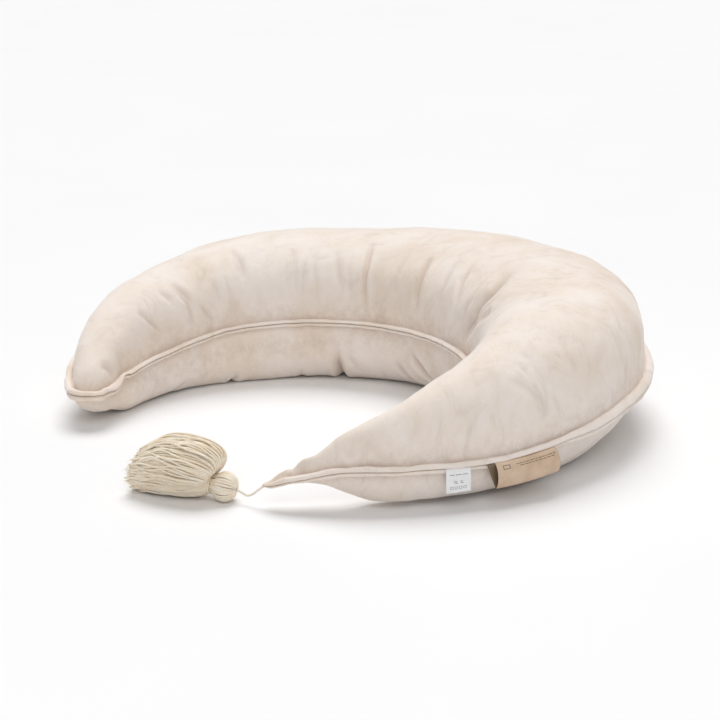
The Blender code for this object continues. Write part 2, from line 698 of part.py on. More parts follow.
# ---- Cord and tassel ----------------------------------------------------------------------------
def tassel_matrix():
    """A frame at the head's centre: +Z along the tassel towards the ends of its yarns."""
    heading = math.radians(TASSEL_HEADING)
    tilt = math.radians(TASSEL_TILT)
    axis = Vector((math.cos(heading) * math.cos(tilt), math.sin(heading) * math.cos(tilt),
                   math.sin(tilt)))
    side = axis.cross(Vector((0.0, 0.0, 1.0))).normalized()
    frame = Matrix((side, axis.cross(side), axis)).transposed().to_4x4()
    frame.translation = TASSEL_HEAD_CENTRE
    return frame


def turned(name, material, profile, steps, matrix, ring=False):
    """A turned solid: a profile of (radius, height) from the top to the bottom, spun round +Z."""
    mesh = bpy.data.meshes.new(name)
    points = [(radius, 0.0, height) for radius, height in profile]
    edges = [(i, i + 1) for i in range(len(points) - 1)]
    if ring:
        edges.append((len(points) - 1, 0))
    mesh.from_pydata(points, edges, [])
    piece = add_object(name, mesh, material, matrix=matrix)
    spun = piece.modifiers.new("turn", "SCREW")
    spun.angle = math.tau
    spun.steps = steps
    spun.render_steps = steps
    spun.use_merge_vertices = True
    spun.merge_threshold = 0.00001
    return piece


def tassel_head():
    """The round head that the cord goes into."""
    rings = 8
    angles = [math.pi * ring / rings for ring in range(rings + 1)]
    profile = [(HEAD_RADIUS * math.sin(a), HEAD_HALF_LENGTH * math.cos(a)) for a in angles]
    profile[0] = (0.0, HEAD_HALF_LENGTH)
    profile[-1] = (0.0, -HEAD_HALF_LENGTH)
    return turned("tassel_head", "tassel_cotton", profile, 20, tassel_matrix())


def tassel_binding():
    """The yarn wound round the neck, as one ring."""
    sides = 8
    profile = []
    for side in range(sides):
        angle = -math.tau * side / sides
        profile.append((NECK_RADIUS + BINDING_RADIUS * (1 + math.cos(angle)),
                        NECK_AT + BINDING_RADIUS * math.sin(angle)))
    return turned("tassel_neck_binding", "tassel_cotton", profile, 20, tassel_matrix(), ring=True)


def tassel_skirt():
    """The bundle of cut yarns, fuller above than below: a loft along the neck and the skirt."""
    core = NECK_RADIUS - GAP
    top = HEAD_HALF_LENGTH + 2 * GAP
    pairs = [((top, core),) * 2, ((SKIRT_START - GAP, core),) * 2]
    pairs += zip(SKIRT_LOWER, SKIRT_UPPER)
    bm = bmesh.new()
    rings = []
    for lower, upper in pairs:
        ring = []
        for side in range(SKIRT_SIDES):
            angle = math.tau * side / SKIRT_SIDES
            above = max(0.0, math.cos(angle)) ** 0.8
            along, radius = (low + (high - low) * above for low, high in zip(lower, upper))
            ring.append(bm.verts.new((radius * math.sin(angle), -radius * math.cos(angle), along)))
        rings.append(ring)
    for ring, after in zip(rings, rings[1:]):
        for c in range(SKIRT_SIDES):
            d = (c + 1) % SKIRT_SIDES
            bm.faces.new((ring[c], ring[d], after[d], after[c]))
    for ring, height in ((rings[0], top), (rings[-1], SKIRT_END)):
        middle = bm.verts.new((0.0, 0.0, height))
        for c in range(SKIRT_SIDES):
            bm.faces.new((ring[c], ring[(c + 1) % SKIRT_SIDES], middle))
    bmesh.ops.recalc_face_normals(bm, faces=bm.faces[:])
    mesh = bpy.data.meshes.new("tassel_skirt")
    bm.to_mesh(mesh)
    bm.free()
    return add_object("tassel_skirt", mesh, "tassel_cotton", matrix=tassel_matrix())


def tassel_cord():
    """The short cord from the cover's tail to the tassel's head."""
    curve = bpy.data.curves.new("tassel_cord", "CURVE")
    curve.dimensions = "3D"
    curve.bevel_depth = CORD_DIAMETER / 2
    curve.bevel_resolution = 2
    curve.render_resolution_u = 0
    curve.use_fill_caps = True
    spline = curve.splines.new("POLY")
    spline.points.add(len(CORD_ROUTE) - 1)
    for knot, point in zip(spline.points, CORD_ROUTE):
        knot.co = (*point, 1.0)
    cord = bpy.data.objects.new("tassel_cord", curve)
    HOME.objects.link(cord)
    curve.materials.append(MATERIALS["tassel_cotton"])
    return cord


# ---- Assembly -----------------------------------------------------------------------------------
TOOLS = bpy.data.collections.new("cutters")
bpy.context.scene.collection.children.link(TOOLS)

cover_panel("cover_top_panel", 1)
cover_panel("cover_bottom_panel", -1)
lining_panel("inner_case_top", 1)
lining_panel("inner_case_bottom", -1)
filling()
build_zip()
care_label()
label_loop()
tassel_cord()
tassel_head()
tassel_binding()
tassel_skirt()
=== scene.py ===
"""Looks of the half-moon nursing pillow: flanged velvet cover, labels, zip, cord and tassel.

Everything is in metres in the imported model's frame: +Z up, the tasselled arm on the +X side.
"""

import math
import random
from collections import namedtuple
from contextlib import contextmanager

import bmesh
import bpy
import numpy as np
from mathutils import Matrix, Vector, noise


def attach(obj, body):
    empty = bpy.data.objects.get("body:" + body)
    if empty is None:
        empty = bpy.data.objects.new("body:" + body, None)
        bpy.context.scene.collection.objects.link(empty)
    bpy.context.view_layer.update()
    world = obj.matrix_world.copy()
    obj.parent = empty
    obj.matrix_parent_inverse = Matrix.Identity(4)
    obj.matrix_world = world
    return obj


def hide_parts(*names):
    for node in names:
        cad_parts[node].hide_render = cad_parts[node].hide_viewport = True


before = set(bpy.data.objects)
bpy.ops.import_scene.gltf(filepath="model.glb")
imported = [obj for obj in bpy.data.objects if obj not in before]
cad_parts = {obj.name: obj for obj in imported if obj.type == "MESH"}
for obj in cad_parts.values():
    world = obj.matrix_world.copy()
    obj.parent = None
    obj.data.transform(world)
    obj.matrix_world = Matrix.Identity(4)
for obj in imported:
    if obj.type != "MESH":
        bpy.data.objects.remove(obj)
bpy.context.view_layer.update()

# ---- The crescent's driving sizes ---------------------------------------------------------------
# The plan, the crown and the seams' heights are the CAD's. The underside's fullness and lift, the
# flange's taper along the tail and the changes at the two tips are the looks' own.
OUTER_RADIUS = 0.313
INNER_RADIUS = 0.192
CENTRE_SHIFT = 0.085
OUTER_CENTRE_Y = -(OUTER_RADIUS - CENTRE_SHIFT + INNER_RADIUS) / 2
INNER_CENTRE_Y = OUTER_CENTRE_Y - CENTRE_SHIFT
FLANGE_WIDTH = 0.009
TAIL_TAPER = 0.40             # share of its width that the flange loses along the flat tail
CROWN_HEIGHT = 0.093
CROWN_FULLNESS = 0.63
BELLY_DEPTH_GAIN = 1.08
BELLY_FULLNESS = 0.76
INNER_DEPTH_GAIN = 0.09       # the underside is fuller on the inside of the curve
INNER_FULLNESS = 0.17
FULL_BELLY_WIDTH = 0.022
GAIN_BLEND = 0.4
LIFT_FROM = 0.4
MOST_LIFT = 0.8               # of the seam's height
STUFFING_FADE = 0.09
TIP_FULLNESS = 0.0072         # the stuffing is packed against the tail's stitches
TIP_FULLEST = 0.943
TIP_SPREAD = 0.018
TAIL_FADE = 0.010
OUTER_TUCK = 0.65             # the tasselled arm's underside curves in below its outer seam
OUTER_TUCK_LIFT = 0.0045
OUTER_TUCK_THINNING = 0.09
TUCK_GROWS = (0.08, 0.28)     # places along the arm
TUCK_EASES = (0.62, 0.80)
INNER_BULGE = 0.009           # the plain arm's underside bulges past its inner seam
BULGE_FULLNESS = 0.30
BULGE_GROWS = (0.10, 0.45)
BULGE_ENDS = (0.86, 0.97)
LEAF_RISE = 0.0045            # the flat tail's inner edge turns up by this much
LEAF_GROWS = (0.94, 0.968)
LEAF_ENDS = (0.975, 1.0)
SEAM_RIM = 0.0012             # each panel's edge, above or below the seam's middle
TAIL_START = 0.957            # place on the tasselled arm where the cover is stitched flat
PLAIN_TIP_LIFT = 0.010        # added to the lift of the plain tip's underside
PLAIN_TIP_DROP = 0.006        # how much lower its seam is than the CAD's
TAIL_FILL_TOP = 0.0048        # how far each panel stands off the seam in the flat tail
TAIL_FILL_BOTTOM = 0.0026
FLOOR_GAP = 0.0002            # least height of the velvet over the floor

Arm = namedtuple("Arm", "side outer_sweep inner_sweep taper_power taper_round crown_gain "
                        "crown_power crown_round stuffed_share belly_lift outer_seam inner_seam")
TASSEL_ARM = Arm(
    side=1, outer_sweep=140.0, inner_sweep=132.3, taper_power=2.2, taper_round=0.89,
    crown_gain=1.10, crown_power=4.0, crown_round=1.2, stuffed_share=0.975, belly_lift=0.017,
    outer_seam=((0.0, 0.0740), (0.40, 0.0655), (0.70, 0.0430), (0.87, 0.0430), (0.96, 0.0305),
                (1.0, 0.0230)),
    inner_seam=((0.0, 0.0740), (0.15, 0.0725), (0.50, 0.0600), (0.80, 0.0400), (0.95, 0.0295),
                (1.0, 0.0230)))
PLAIN_ARM = Arm(
    side=-1, outer_sweep=149.4, inner_sweep=137.4, taper_power=11.0, taper_round=0.31,
    crown_gain=0.89, crown_power=3.7, crown_round=0.48, stuffed_share=1.0, belly_lift=0.002,
    outer_seam=((0.0, 0.0740), (0.45, 0.0740), (0.80, 0.0580), (1.0, 0.0430)),
    inner_seam=((0.0, 0.0740), (0.25, 0.0730), (0.52, 0.0680), (0.76, 0.0520), (1.0, 0.0430)))

# ---- Mesh density and cloth ---------------------------------------------------------------------
ROW_STEP = 0.0032             # along the longer seam
BODY_COLUMNS = 60
SIM_FRAMES = 20
SIM_CAP = 0.0040              # furthest that the simulation may move a point of the velvet
SIM_CAP_BELOW = 0.0015        # the same for the underside, which the floor holds
SIM_GROWTH = 0.035            # how much larger the velvet is cut than the shape it covers
LINING_INSET = 0.010          # this and the next are deeper than the CAD's, for the creases
FILLING_INSET = 0.013
HELD_AT_PLAIN_TIP = 4         # rows of the velvet that the simulation leaves as they are
HELD_AT_TAIL = 14

# ---- Flange: (outwards, away from the seam's plane) of each rolled lip ---------------------------
TOP_LIP = ((0.0001, 0.0006), (0.0007, 0.0020), (0.0019, 0.0041), (0.0040, 0.0053),
           (0.0062, 0.0052), (0.0080, 0.0040), (0.0089, 0.0025), (0.0087, 0.0012),
           (0.0074, 0.0005), (0.0045, 0.0002))
BOTTOM_LIP = ((0.0001, 0.0008), (0.0007, 0.0025), (0.0019, 0.0047), (0.0038, 0.0060),
              (0.0059, 0.0058), (0.0076, 0.0045), (0.0084, 0.0028), (0.0082, 0.0013),
              (0.0070, 0.0006), (0.0045, 0.0002))

# ---- Zip ----------------------------------------------------------------------------------------
ZIP_START = -6.0
ZIP_SWEEP = 56.0
SLIT_TOP = 0.008
SLIT_BOTTOM = 0.014
SLIT_SLACK = 0.3
ZIP_Z = 0.063
COIL_PITCH = 0.0013
HEM_DEPTH = 0.0022

# ---- Labels -------------------------------------------------------------------------------------
LABEL_STANDOFF = 0.0009
CARE_SHARE = 0.7425
CARE_WIDTH = 0.025
CARE_DROP = 0.024
LOOP_START = 0.602
LOOP_END = 0.692
LOOP_DROP = 0.024

# ---- Cord and tassel ----------------------------------------------------------------------------
CORD_DIAMETER = 0.0025
CORD_PLY_PITCH = 0.0042
CORD_ROUTE = (
    (0.1710, -0.4385, 0.0225), (0.1682, -0.4428, 0.0188), (0.1645, -0.4454, 0.0148),
    (0.1600, -0.4472, 0.0114), (0.1549, -0.4489, 0.0099), (0.1494, -0.4508, 0.0117),
    (0.1447, -0.4533, 0.0137))
TASSEL_HEAD_CENTRE = Vector((0.1340, -0.4602, 0.0152))
TASSEL_HEADING = 213.0
TASSEL_TILT = 7.0
HEAD_RADIUS = 0.0148
HEAD_HALF_LENGTH = 0.0120
NECK_AT = 0.0150
NECK_RADIUS = 0.0094
YARN_RADIUS = 0.00100
SKIRT_REACH = 0.101           # from the head's centre to the cut ends
HEAD_YARNS = 34
SKIRT_YARNS = 600
WISPS = 420
GOLDEN_ANGLE = math.pi * (3 - math.sqrt(5))
CORE_RANK = 0.93              # how far out the skirt's packed middle goes; 1 is the outermost yarns
CORE_SHORTER = 0.010

# ---- Light and camera ---------------------------------------------------------------------------
SURROUND = 0.31               # strength of the white surround, which the camera sees as 1
SUNS = (("key", (0.36, -0.27, -1.0), 42.0, 2.08),        # name, direction, angle, power
        ("front", (-0.62, 0.38, -0.70), 50.0, 0.82))
FLOOR_REACH = 6
CAMERA_AT = (1.9125, -1.5574, 0.7624)
CAMERA_RIGHT = Vector((0.5774, 0.8165, 0.0))
CAMERA_UP = Vector((-0.2323, 0.1643, 0.9587))
CAMERA_LENS = 113.84


# ---- Small helpers ------------------------------------------------------------------------------
def ease(keys, shares):
    """Ease from one (share, value) key to the next without overshoot, for an array of shares."""
    xs = np.array([key[0] for key in keys])
    ys = np.array([key[1] for key in keys])
    steps = np.diff(ys) / np.diff(xs)
    slopes = np.zeros(len(xs))
    for k in range(1, len(xs) - 1):
        if steps[k - 1] * steps[k] > 0:
            slopes[k] = 2 * steps[k - 1] * steps[k] / (steps[k - 1] + steps[k])
    i = np.clip(np.searchsorted(xs, shares, side="right") - 1, 0, len(xs) - 2)
    span = xs[i + 1] - xs[i]
    t = np.clip((shares - xs[i]) / span, 0, 1)
    return ((2 * t ** 3 - 3 * t ** 2 + 1) * ys[i] + (t ** 3 - 2 * t ** 2 + t) * span * slopes[i]
            + (3 * t ** 2 - 2 * t ** 3) * ys[i + 1] + (t ** 3 - t ** 2) * span * slopes[i + 1])


def smoothstep(low, high, values):
    """0 below low, 1 above high, with an easy curve between."""
    t = np.clip((values - low) / (high - low), 0, 1)
    return t * t * (3 - 2 * t)


def unit(vectors):
    """Vectors of length 1."""
    return vectors / np.maximum(np.linalg.norm(vectors, axis=-1, keepdims=True), 1e-9)


def noise_field(points, scale, seed):
    """Smooth noise from -1 to 1 at each point of an (..., 3) array."""
    flat = points.reshape(-1, 3) * scale + seed * 17.3
    values = np.array([noise.noise(Vector(p)) for p in flat])
    return values.reshape(points.shape[:-1])


def noise_line(values, scale, seed):
    """Smooth noise from -1 to 1 along a line."""
    flat = [noise.noise(Vector((v * scale, seed * 11.7, seed * 5.1))) for v in values.ravel()]
    return np.array(flat).reshape(values.shape)


def waves(along, *parts):
    """Waves along a line added up, each part with its height, scale and seed."""
    return sum(height * noise_line(along, scale, seed) for height, scale, seed in parts)


def catmull_rom(points, count):
    """A smooth curve through the points, at this many even steps along its length."""
    knots = [Vector(p) for p in points]
    knots = [2 * knots[0] - knots[1]] + knots + [2 * knots[-1] - knots[-2]]
    dense = []
    for before, start, end, after in zip(knots, knots[1:], knots[2:], knots[3:]):
        for step in range(12):
            t = step / 12
            dense.append(0.5 * (2 * start + (end - before) * t
                                + (2 * before - 5 * start + 4 * end - after) * t ** 2
                                + (3 * start - before - 3 * end + after) * t ** 3))
    dense = np.array([tuple(p) for p in dense + [knots[-2]]])
    return resample(dense, count)


def distances(points):
    """Distance along a line of points at each of them."""
    return np.concatenate([[0], np.cumsum(np.linalg.norm(np.diff(points, axis=0), axis=1))])


def resample(points, count):
    """The same line with evenly spaced points."""
    along = distances(points)
    wanted = np.linspace(0, along[-1], count)
    return np.stack([np.interp(wanted, along, points[:, k]) for k in range(3)], axis=1)


def line_length(points):
    """Length of a polyline."""
    return float(np.linalg.norm(np.diff(np.asarray(points), axis=0), axis=1).sum())


@contextmanager
def editing(mesh):
    """A mesh as a bmesh, which is written back afterwards."""
    bm = bmesh.new()
    bm.from_mesh(mesh)
    yield bm
    bm.to_mesh(mesh)
    bm.free()


def face_outwards(mesh):
    """Turn a closed mesh's faces outwards."""
    with editing(mesh) as bm:
        bmesh.ops.recalc_face_normals(bm, faces=bm.faces[:])


def store(mesh, name, values):
    """Store a value at each point of a mesh, for its material to read."""
    mesh.attributes.new(name, "FLOAT", "POINT").data.foreach_set("value", values)


def grid_mesh(name, grid, skipped=None, flip=False, close_columns=False, weld=0.0):
    """A mesh over an (n, m, 3) grid of points; skipped is an (n-1, m-1) mask of missing faces."""
    rows, columns = grid.shape[:2]
    index = np.arange(rows * columns).reshape(rows, columns)
    if close_columns:
        index = np.concatenate([index, index[:, :1]], axis=1)
    quads = np.stack([index[:-1, :-1], index[1:, :-1], index[1:, 1:], index[:-1, 1:]], axis=-1)
    if flip:
        quads = quads[..., ::-1]
    keep = np.ones(quads.shape[:2], bool) if skipped is None else ~skipped
    mesh = bpy.data.meshes.new(name)
    mesh.from_pydata(grid.reshape(-1, 3).tolist(), [], quads[keep].tolist())
    if weld:
        with editing(mesh) as bm:
            bmesh.ops.remove_doubles(bm, verts=bm.verts[:], dist=weld)
            bmesh.ops.delete(bm, geom=[v for v in bm.verts if not v.link_faces], context="VERTS")
    mesh.shade_smooth()
    return mesh


def add_piece(mesh, material, body, node=None):
    """Link a piece, give it its material, tie it to its body, and hide the CAD node that it
    replaces.
    """
    piece = bpy.data.objects.new(mesh.name, mesh)
    bpy.context.scene.collection.objects.link(piece)
    mesh.materials.append(MATERIALS[material])
    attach(piece, body)
    if node:
        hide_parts(node)
    return piece


def frames_along(path):
    """Two directions across a path at each of its points, turning as little as possible."""
    tangents = unit(np.gradient(path, axis=0))
    first = np.cross(tangents[0], (0.0, 0.0, 1.0))
    if np.linalg.norm(first) < 1e-3:
        first = np.cross(tangents[0], (1.0, 0.0, 0.0))
    across = [first / np.linalg.norm(first)]
    for tangent in tangents[1:]:
        side = across[-1] - tangent * np.dot(across[-1], tangent)
        across.append(side / np.linalg.norm(side))
    across = np.array(across)
    return across, np.cross(tangents, across)


def tubes_mesh(name, paths, radii, sides=6):
    """One mesh of closed round tubes; each path has its own array of radii."""
    points, faces, base = [], [], 0
    angles = np.arange(sides) * math.tau / sides
    for path, radius in zip(paths, radii):
        path = np.asarray(path, float)
        radius = np.broadcast_to(radius, (len(path),))
        side, up = frames_along(path)
        rings = (path[:, None] + radius[:, None, None]
                 * (np.cos(angles)[None, :, None] * side[:, None]
                    + np.sin(angles)[None, :, None] * up[:, None]))
        points.append(rings.reshape(-1, 3))
        for r in range(len(path) - 1):
            for k in range(sides):
                a, b = base + r * sides + k, base + r * sides + (k + 1) % sides
                faces.append((a, b, b + sides, a + sides))
        faces.append(tuple(base + k for k in reversed(range(sides))))
        last = base + (len(path) - 1) * sides
        faces.append(tuple(last + k for k in range(sides)))
        base += len(path) * sides
    mesh = bpy.data.meshes.new(name)
    mesh.from_pydata(np.concatenate(points).tolist(), [], faces)
    mesh.shade_smooth()
    return mesh


def add_tubes(name, paths, radii, sides, material, body, node=None):
    """A piece made of round tubes."""
    return add_piece(tubes_mesh(name, paths, radii, sides), material, body, node)


# ---- Materials ----------------------------------------------------------------------------------
class Nodes:
    """A short way to write a material's node tree."""

    def __init__(self, name):
        self.material = bpy.data.materials.new(name)
        self.material.use_nodes = True
        self.tree = self.material.node_tree
        self.shader = self.tree.nodes["Principled BSDF"]
        self.coordinates = self.add("ShaderNodeTexCoord").outputs["Object"]

    def add(self, kind, **values):
        """A node with these attributes or input values."""
        node = self.tree.nodes.new(kind)
        for key, value in values.items():
            if hasattr(node, key):
                setattr(node, key, value)
            else:
                node.inputs[key.replace("_", " ").title()].default_value = value
        return node

    def link(self, output, target):
        """Join an output to an input."""
        self.tree.links.new(output, target)

    def attribute(self, name):
        """A value stored at the mesh's points."""
        return self.add("ShaderNodeAttribute", attribute_name=name).outputs["Fac"]

    def noise(self, scale, detail=3.0, roughness=0.5, stretch=(1, 1, 1), distortion=0.0):
        """Noise in the object's own coordinates; a stretch under 1 makes it longer that way."""
        mapping = self.add("ShaderNodeMapping")
        mapping.inputs["Scale"].default_value = stretch
        self.link(self.coordinates, mapping.inputs["Vector"])
        node = self.add("ShaderNodeTexNoise", scale=scale, detail=detail, roughness=roughness,
                        distortion=distortion)
        self.link(mapping.outputs["Vector"], node.inputs["Vector"])
        return node.outputs["Fac"]

    def ramp(self, value, stops):
        """Colours (position, colour) read off a value."""
        node = self.add("ShaderNodeValToRGB")
        while len(node.color_ramp.elements) < len(stops):
            node.color_ramp.elements.new(0.5)
        for element, (position, colour) in zip(node.color_ramp.elements, stops):
            element.position = position
            element.color = (*colour, 1.0)
        self.link(value, node.inputs["Fac"])
        return node.outputs["Color"]

    def math(self, operation, first, second):
        """A Math node between two values or outputs."""
        node = self.add("ShaderNodeMath", operation=operation)
        for slot, value in zip(node.inputs, (first, second)):
            if isinstance(value, (int, float)):
                slot.default_value = value
            else:
                self.link(value, slot)
        return node.outputs[0]

    def mix(self, first, second, share, blend="MIX"):
        """Two colours mixed."""
        node = self.add("ShaderNodeMix", data_type="RGBA", blend_type=blend)
        for slot, value in zip((node.inputs[k] for k in (0, 6, 7)), (share, first, second)):
            if isinstance(value, (int, float)):
                slot.default_value = value
            elif isinstance(value, tuple):
                slot.default_value = (*value, 1.0)
            else:
                self.link(value, slot)
        return node.outputs[2]

    def shade(self, colour, value, stops):
        """A colour multiplied by a ramp."""
        return self.mix(colour, self.ramp(value, stops), 1.0, "MULTIPLY")

    def bump(self, height, strength, distance, before=None):
        """A bump, which can follow another one."""
        node = self.add("ShaderNodeBump")
        node.inputs["Strength"].default_value = strength
        node.inputs["Distance"].default_value = distance
        self.link(height, node.inputs["Height"])
        if before:
            self.link(before, node.inputs["Normal"])
        return node.outputs["Normal"]

    def finish(self, colour, normal=None, **values):
        """Join the colour and the normal, and set plain values on the shader's own sockets."""
        self.link(colour, self.shader.inputs["Base Color"])
        if normal:
            self.link(normal, self.shader.inputs["Normal"])
        for key, value in values.items():
            socket = self.shader.inputs[key.replace("_", " ").title().replace("Ior", "IOR")]
            if isinstance(value, bpy.types.NodeSocket):
                self.link(value, socket)
            else:
                socket.default_value = value
        return self.material


def velvet():
    """Short-pile velvet: pressed patches of pile, fine nap, a soft sheen at grazing angles, and
    painted shade in the seams' grooves and along the creases.
    """
    n = Nodes("velvet")
    patches = n.noise(9.0, 5.0, 0.6, distortion=1.0)
    colour = n.ramp(patches, ((0.30, (0.850, 0.735, 0.625)), (0.47, (0.920, 0.820, 0.735)),
                              (0.62, (0.950, 0.870, 0.810))))
    streaks = n.noise(38.0, 4.0, 0.65, stretch=(1.0, 1.0, 0.35), distortion=1.2)
    colour = n.shade(colour, streaks, ((0.30, (0.90, 0.88, 0.865)), (0.46, (0.985, 0.98, 0.975)),
                                       (0.66, (1.0, 1.0, 1.0))))
    # painted shade: the velvet is darkened, with a speckle, in the flange's groove beside both
    # seams and fades over the body
    near = n.attribute("seam_nearness")
    speckle = n.ramp(n.noise(120.0, 3.0, 0.7),
                     ((0.35, (0.15, 0.15, 0.15)), (0.65, (1.0, 1.0, 1.0))))
    brushing_and_groove_shade = n.math("MULTIPLY", n.math("MULTIPLY", near, 0.40), speckle)
    colour = n.mix(colour, (0.640, 0.505, 0.415), brushing_and_groove_shade)
    # painted shade: the velvet is darkened along the creases' lines
    crease_shade = n.attribute("crease_shade")
    colour = n.mix(colour, (0.520, 0.400, 0.320), n.math("MULTIPLY", crease_shade, 0.55))
    nap = n.noise(1400.0, 2.0, 0.7)
    colour = n.shade(colour, nap, ((0.30, (0.94, 0.935, 0.93)), (0.70, (1.0, 1.0, 1.0))))
    soft = n.bump(streaks, 0.22, 0.005)
    fine = n.bump(nap, 0.25, 0.0006, before=soft)
    return n.finish(colour, fine, roughness=0.92, sheen_weight=0.30, sheen_roughness=0.40,
                    sheen_tint=(1.0, 0.97, 0.95, 1.0), specular_ior_level=0.12)


def woven(name, light, dark, pitch):
    """Plain woven cloth, with a thread's pitch in metres."""
    n = Nodes(name)
    height = None
    for axis in ("X", "Y", "Z"):
        wave = n.add("ShaderNodeTexWave", wave_type="BANDS", bands_direction=axis)
        wave.inputs["Scale"].default_value = 1.0 / pitch / 3.0
        wave.inputs["Distortion"].default_value = 0.6
        n.link(n.coordinates, wave.inputs["Vector"])
        thread = wave.outputs["Fac"]
        height = thread if height is None else n.math("MAXIMUM", height, thread)
    tone = n.noise(60.0, 3.0, 0.6)
    colour = n.shade(n.ramp(tone, ((0.3, dark), (0.7, light))), height,
                     ((0.0, (0.82, 0.82, 0.82)), (1.0, (1.0, 1.0, 1.0))))
    return n.finish(colour, n.bump(height, 0.35, pitch * 0.5), roughness=0.85,
                    sheen_weight=0.15, specular_ior_level=0.2)


def satin():
    """White satin ribbon with fine ribs across it."""
    n = Nodes("care_satin")
    ribs = n.noise(900.0, 2.0, 0.5, stretch=(1.0, 1.0, 0.12))
    tone = n.noise(120.0, 2.0, 0.5)
    colour = n.ramp(tone, ((0.3, (0.86, 0.865, 0.87)), (0.7, (0.93, 0.93, 0.93))))
    return n.finish(colour, n.bump(ribs, 0.15, 0.0003), roughness=0.38, sheen_weight=0.2,
                    specular_ior_level=0.5)


def printed(name, scale, dark, light, roughness, shine):
    """The print on a label, worn a little unevenly."""
    n = Nodes(name)
    colour = n.ramp(n.noise(scale, 2.0, 0.6), ((0.35, dark), (0.65, light)))
    return n.finish(colour, roughness=roughness, specular_ior_level=shine)


def tan_leather():
    """Smooth tan leather with faint grain, worn a little lighter in places, and painted shade on
    the loop's inner face.
    """
    n = Nodes("label_leather")
    broad = n.noise(42.0, 4.0, 0.6)
    colour = n.ramp(broad, ((0.28, (0.580, 0.415, 0.285)), (0.5, (0.690, 0.510, 0.365)),
                            (0.74, (0.770, 0.600, 0.460))))
    cells = n.add("ShaderNodeTexVoronoi", feature="DISTANCE_TO_EDGE")
    cells.inputs["Scale"].default_value = 900.0
    n.link(n.coordinates, cells.inputs["Vector"])
    colour = n.shade(colour, cells.outputs["Distance"],
                     ((0.0, (0.90, 0.89, 0.87)), (0.12, (1.0, 1.0, 1.0))))
    # painted shade: the loop's inner face is painted dark brown, as the shade inside the loop
    back = n.attribute("inside")
    colour = n.mix(colour, (0.165, 0.120, 0.070), n.math("MULTIPLY", back, 0.92))
    rough = n.math("ADD", n.math("MULTIPLY", n.noise(160.0, 3.0, 0.6), 0.22), 0.33)
    return n.finish(colour, n.bump(cells.outputs["Distance"], 0.12, 0.0004), roughness=rough,
                    specular_ior_level=0.45)


def cotton_yarn(name, light, dark):
    """Cream cotton yarn: soft fibres, with tone changing from yarn to yarn."""
    n = Nodes(name)
    tone = n.noise(190.0, 3.0, 0.6, stretch=(0.35, 0.35, 1.0))
    fibres = n.noise(2600.0, 2.0, 0.6)
    colour = n.shade(n.ramp(tone, ((0.30, dark), (0.68, light))), fibres,
                     ((0.3, (0.93, 0.92, 0.90)), (0.7, (1.0, 1.0, 1.0))))
    return n.finish(colour, n.bump(fibres, 0.5, 0.0004), roughness=0.95, sheen_weight=0.25,
                    sheen_roughness=0.5, specular_ior_level=0.1)


def metal(name, colour, roughness):
    """Plated metal with fine brushing and worn patches."""
    n = Nodes(name)
    wear = n.noise(350.0, 4.0, 0.65)
    dark = tuple(c * 0.8 for c in colour)
    brushing_and_groove_shade = n.noise(1800.0, 2.0, 0.5, stretch=(1.0, 1.0, 0.08))
    rough = n.math("ADD", n.math("MULTIPLY", wear, 0.18), roughness)
    return n.finish(n.ramp(wear, ((0.3, dark), (0.6, colour))), n.bump(brushing_and_groove_shade, 0.08, 0.0002),
                    roughness=rough, metallic=1.0)


def nylon(name, light, dark):
    """Slightly glossy moulded nylon."""
    n = Nodes(name)
    tone = n.noise(500.0, 2.0, 0.5)
    return n.finish(n.ramp(tone, ((0.3, dark), (0.7, light))), n.bump(tone, 0.08, 0.0002),
                    roughness=0.42, specular_ior_level=0.5)


def loose_fibre():
    """White hollow-fibre filling."""
    n = Nodes("fibre")
    wads = n.noise(70.0, 5.0, 0.7, distortion=1.5)
    colour = n.ramp(wads, ((0.3, (0.74, 0.74, 0.73)), (0.65, (0.88, 0.88, 0.87))))
    return n.finish(colour, n.bump(wads, 0.8, 0.004), roughness=1.0, sheen_weight=0.4)


MATERIALS = {
    "velvet": velvet(),
    "thread": cotton_yarn("thread", (0.76, 0.66, 0.58), (0.62, 0.52, 0.44)),
    "lining": woven("lining_cotton", (0.83, 0.81, 0.77), (0.75, 0.73, 0.69), 0.0009),
    "tape": woven("zip_tape", (0.70, 0.60, 0.51), (0.61, 0.52, 0.44), 0.0007),
    "satin": satin(),
    "ink": printed("label_ink", 800.0, (0.20, 0.21, 0.22), (0.34, 0.35, 0.37), 0.7, 0.2),
    "leather": tan_leather(),
    "print": printed("label_print", 700.0, (0.085, 0.055, 0.035), (0.15, 0.10, 0.065), 0.6, 0.3),
    "yarn": cotton_yarn("tassel_cotton", (0.995, 0.915, 0.785), (0.975, 0.840, 0.655)),
    "cord": cotton_yarn("cord_cotton", (0.93, 0.87, 0.79), (0.86, 0.78, 0.68)),
    "nylon": nylon("zip_nylon", (0.68, 0.59, 0.50), (0.60, 0.51, 0.43)),
    "metal": metal("zip_metal", (0.66, 0.64, 0.61), 0.22),
    "fibre": loose_fibre(),
}


# ---- The crescent -------------------------------------------------------------------------------
Rows = namedtuple("Rows", "place share side centre across half_width seam_in seam_out crown "
                          "belly lift outer_edge inner_edge outer_normal inner_normal reach tuck "
                          "bulge_in")


def arc_point(centre_y, radius, angle):
    """Plan points on an arc, the angle measured from +Y towards +X."""
    return np.stack([radius * np.sin(angle), centre_y + radius * np.cos(angle)], axis=-1)


